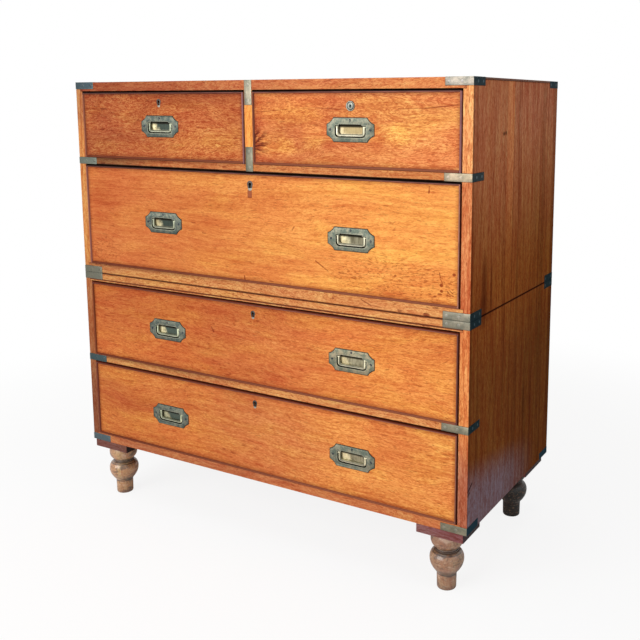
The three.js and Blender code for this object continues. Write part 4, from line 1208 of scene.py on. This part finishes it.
for drawer, tones in FRONT_TONES.items():
    finish = drawer_front_finish(drawer, *tones)
    dressed(drawer + "_front", finish, "front_wood", ease=0.00035, rounds=1, angle=50)
    nodes[drawer + "_box"].data.materials.clear()
    nodes[drawer + "_box"].data.materials.append(LINING_WOOD)

# Brass
STRAP_BRASS = brass_finish(
    "strap_brass", (0.43, 0.4, 0.3), (0.24, 0.25, 0.195), (0.11, 0.12, 0.1), 0.85, 0.36,
    (0.12, 0.155, 0.155), (0.02, 0.042, 0.054),
)
PLATE_BRASS = plate_finish()
DISH_BRASS = dish_finish()
BAIL_BRASS = bail_finish()
SCREW_BRASS = brass_finish(
    "screw_brass", (0.54, 0.52, 0.43), (0.33, 0.34, 0.29), (0.12, 0.13, 0.12), 0.7, 0.36,
    (0.11, 0.14, 0.14), (0.09, 0.14, 0.17),
)
HANDLE_SCREW_STEEL = brass_finish(
    "handle_screw_steel", (0.035, 0.038, 0.06), (0.02, 0.022, 0.035), (0.01, 0.01, 0.02),
    0.7, 0.45)
KEYHOLE_BRASS = keyhole_finish()
ESCUTCHEON_BRASS = escutcheon_finish()

# Where the screws of the straps sit: two in each leg, two in each upright strap
SIDES = ((-1, "left"), (1, "right"))
LEG_SCREWS_OUT = (0.4475, 0.4725)
LEG_SCREWS_BACK = (-0.209, -0.186)
REAR_SCREWS_BACK = (0.187, 0.22)
CENTRE_SCREW_END = 0.009
REAR_STRAP_START = 0.1795
turns = itertools.count(67, 47)
SCREW_PLACES = {}
for body, lows in STRAP_LOWS.items():
    places = SCREW_PLACES[body] = []
    for low in lows:
        height = low + STRAP_HEIGHT / 2
        backs = LEG_SCREWS_BACK + (REAR_SCREWS_BACK if low in REAR_STRAP_LOWS else ())
        for side, facing in SIDES:
            for x in LEG_SCREWS_OUT:
                point = (side * x, FRONT_PLANE - STRAP_PROUD, height)
                places.append((point, "front", next(turns)))
            for y in backs:
                point = (side * (SIDE_PLANE + STRAP_PROUD), y, height)
                places.append((point, facing, next(turns)))
for low in CENTRE_STRAP_LOWS:
    for rise in (CENTRE_SCREW_END, CENTRE_STRAP_HEIGHT - CENTRE_SCREW_END):
        point = (0, FRONT_PLANE - STRAP_PROUD, low + rise)
        SCREW_PLACES["upper_case"].append((point, "front", next(turns)))

strap_screw = screw_model(head=0.0029, proud=-0.00004)
sink = sink_model(0.0031)
for body, lows in STRAP_LOWS.items():
    bed = spread(body + "_sinks", sink, SCREW_PLACES[body])
    for node in sorted(nodes):
        if node.endswith("_strap") and body_of[node] == body:
            cut(dressed(node, STRAP_BRASS, "strap_brass", ease=0.00025), bed)
    for low in sorted(REAR_STRAP_LOWS.intersection(lows)):
        for side, hand in SIDES:
            near, far = sorted((side * (SIDE_PLANE - 0.001), side * (SIDE_PLANE + STRAP_PROUD)))
            strap = block(
                f"{body}_rear_{hand}_strap_{round(low * 1000)}", (near, REAR_STRAP_START, low),
                (far, BACK_PLANE - 0.0003, low + STRAP_HEIGHT), ease=0.00025, rounds=2)
            cut(given(strap, STRAP_BRASS, body, "strap_brass"), bed)
    removed(bed)
    screws(body + "_strap_screws", body, "strap_brass", SCREW_BRASS, strap_screw,
           SCREW_PLACES[body])

HANDLE_SCREWS = ((-0.0448, 0.0), (0.0448, 0.0), (0.0, 0.018))
HANDLE_SCREW_PROUD = 0.0006
HANDLES = {}
dish = dish_model()
for node in sorted(nodes):
    if node.endswith("_handle_plate"):
        low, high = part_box(node)
        centre = (low + high) / 2
        centre.y = FRONT_PLANE
        HANDLES.setdefault(body_of[node], []).append(centre)
        plate = dressed(node, PLATE_BRASS, "plate_brass", ease=0.0003)
        outlined(plate, 0.0011)
        seated(plate, centre)
        pan = copied(dish, node.replace("_plate", "_dish"), centre)
        seated(pan, centre)
        given(pan, DISH_BRASS, body_of[node], "plate_brass")
        bail = dressed(node.replace("_plate", "_bail"), BAIL_BRASS, "bail_brass",
                       ease=0.0006, rounds=3, angle=40)
        seated(bail, centre)

handle_screw = screw_model(head=0.0025, proud=0.0001)
for body, centres in HANDLES.items():
    places = []
    for index, centre in enumerate(centres):
        for step, (x, z) in enumerate(HANDLE_SCREWS):
            point = (centre.x + x, FRONT_PLANE - HANDLE_SCREW_PROUD, centre.z + z)
            places.append((point, "front", 35 + 61 * step + 40 * index))
    screws(body + "_handle_screws", body, "plate_brass", HANDLE_SCREW_STEEL, handle_screw, places)

# Keyhole plates, and the lock behind each keyhole
KEYHOLES = {
    "top_left_drawer": (-0.2425, 0.9482), "top_right_drawer": (0.2425, 0.9402),
    "deep_drawer": (0.0, 0.7807), "third_drawer": (0.0, 0.5085),
    "bottom_drawer": (0.0, 0.3123),
}
LOCK_HALF = 0.034
LOCK_DROP = 0.048
LOCK_FRONT = FRONT_PLANE + 0.018
LOCK_BACK = FRONT_PLANE + 0.029
for body, (x, z) in KEYHOLES.items():
    if body != "top_right_drawer":
        keyhole = keyhole_model(*(WIDE_KEYHOLE if body == "deep_drawer" else KEYHOLE_PLATE))
        centre = Vector((x, FRONT_PLANE, z))
        plate = copied(keyhole, body + "_keyhole_plate", centre)
        removed(keyhole)
        smoothed(plate)
        given(plate, KEYHOLE_BRASS, body, "plate_brass")
    else:
        low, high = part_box("top_right_escutcheon")
        centre = (low + high) / 2
        escutcheon = turned("escutcheon_model", 48, ESCUTCHEON_PROFILE, ALONG_Y)
        bored(escutcheon, bore=0.0022, half=0.0011, slot=0.004)
        plate = copied(escutcheon, "top_right_escutcheon_turned", (centre.x, low.y, centre.z))
        removed(escutcheon)
        given(plate, ESCUTCHEON_BRASS, body, "plate_brass", "top_right_escutcheon")
    mark_arrises(plate)
    seated(plate, centre)
    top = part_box(body + "_front")[1].z
    lock = block(body + "_lock", (x - LOCK_HALF, LOCK_FRONT, top - LOCK_DROP),
                 (x + LOCK_HALF, LOCK_BACK, top - 0.001), ease=0.0008)
    given(lock, STRAP_BRASS, body, "plate_brass")
removed(strap_screw, handle_screw, sink, dish)

# Feet
FOOT_WOOD = foot_finish()
foot = turned("foot_model", 56, FOOT_PROFILE, ALONG_Z)
for node in sorted(nodes):
    if node.endswith("_foot"):
        low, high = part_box(node)
        middle = (low + high) / 2
        piece = copied(foot, node + "_turned", (middle.x, middle.y, 0))
        smoothed(piece, 40)
        given(piece, FOOT_WOOD, body_of[node], "foot_wood", node)
removed(foot)
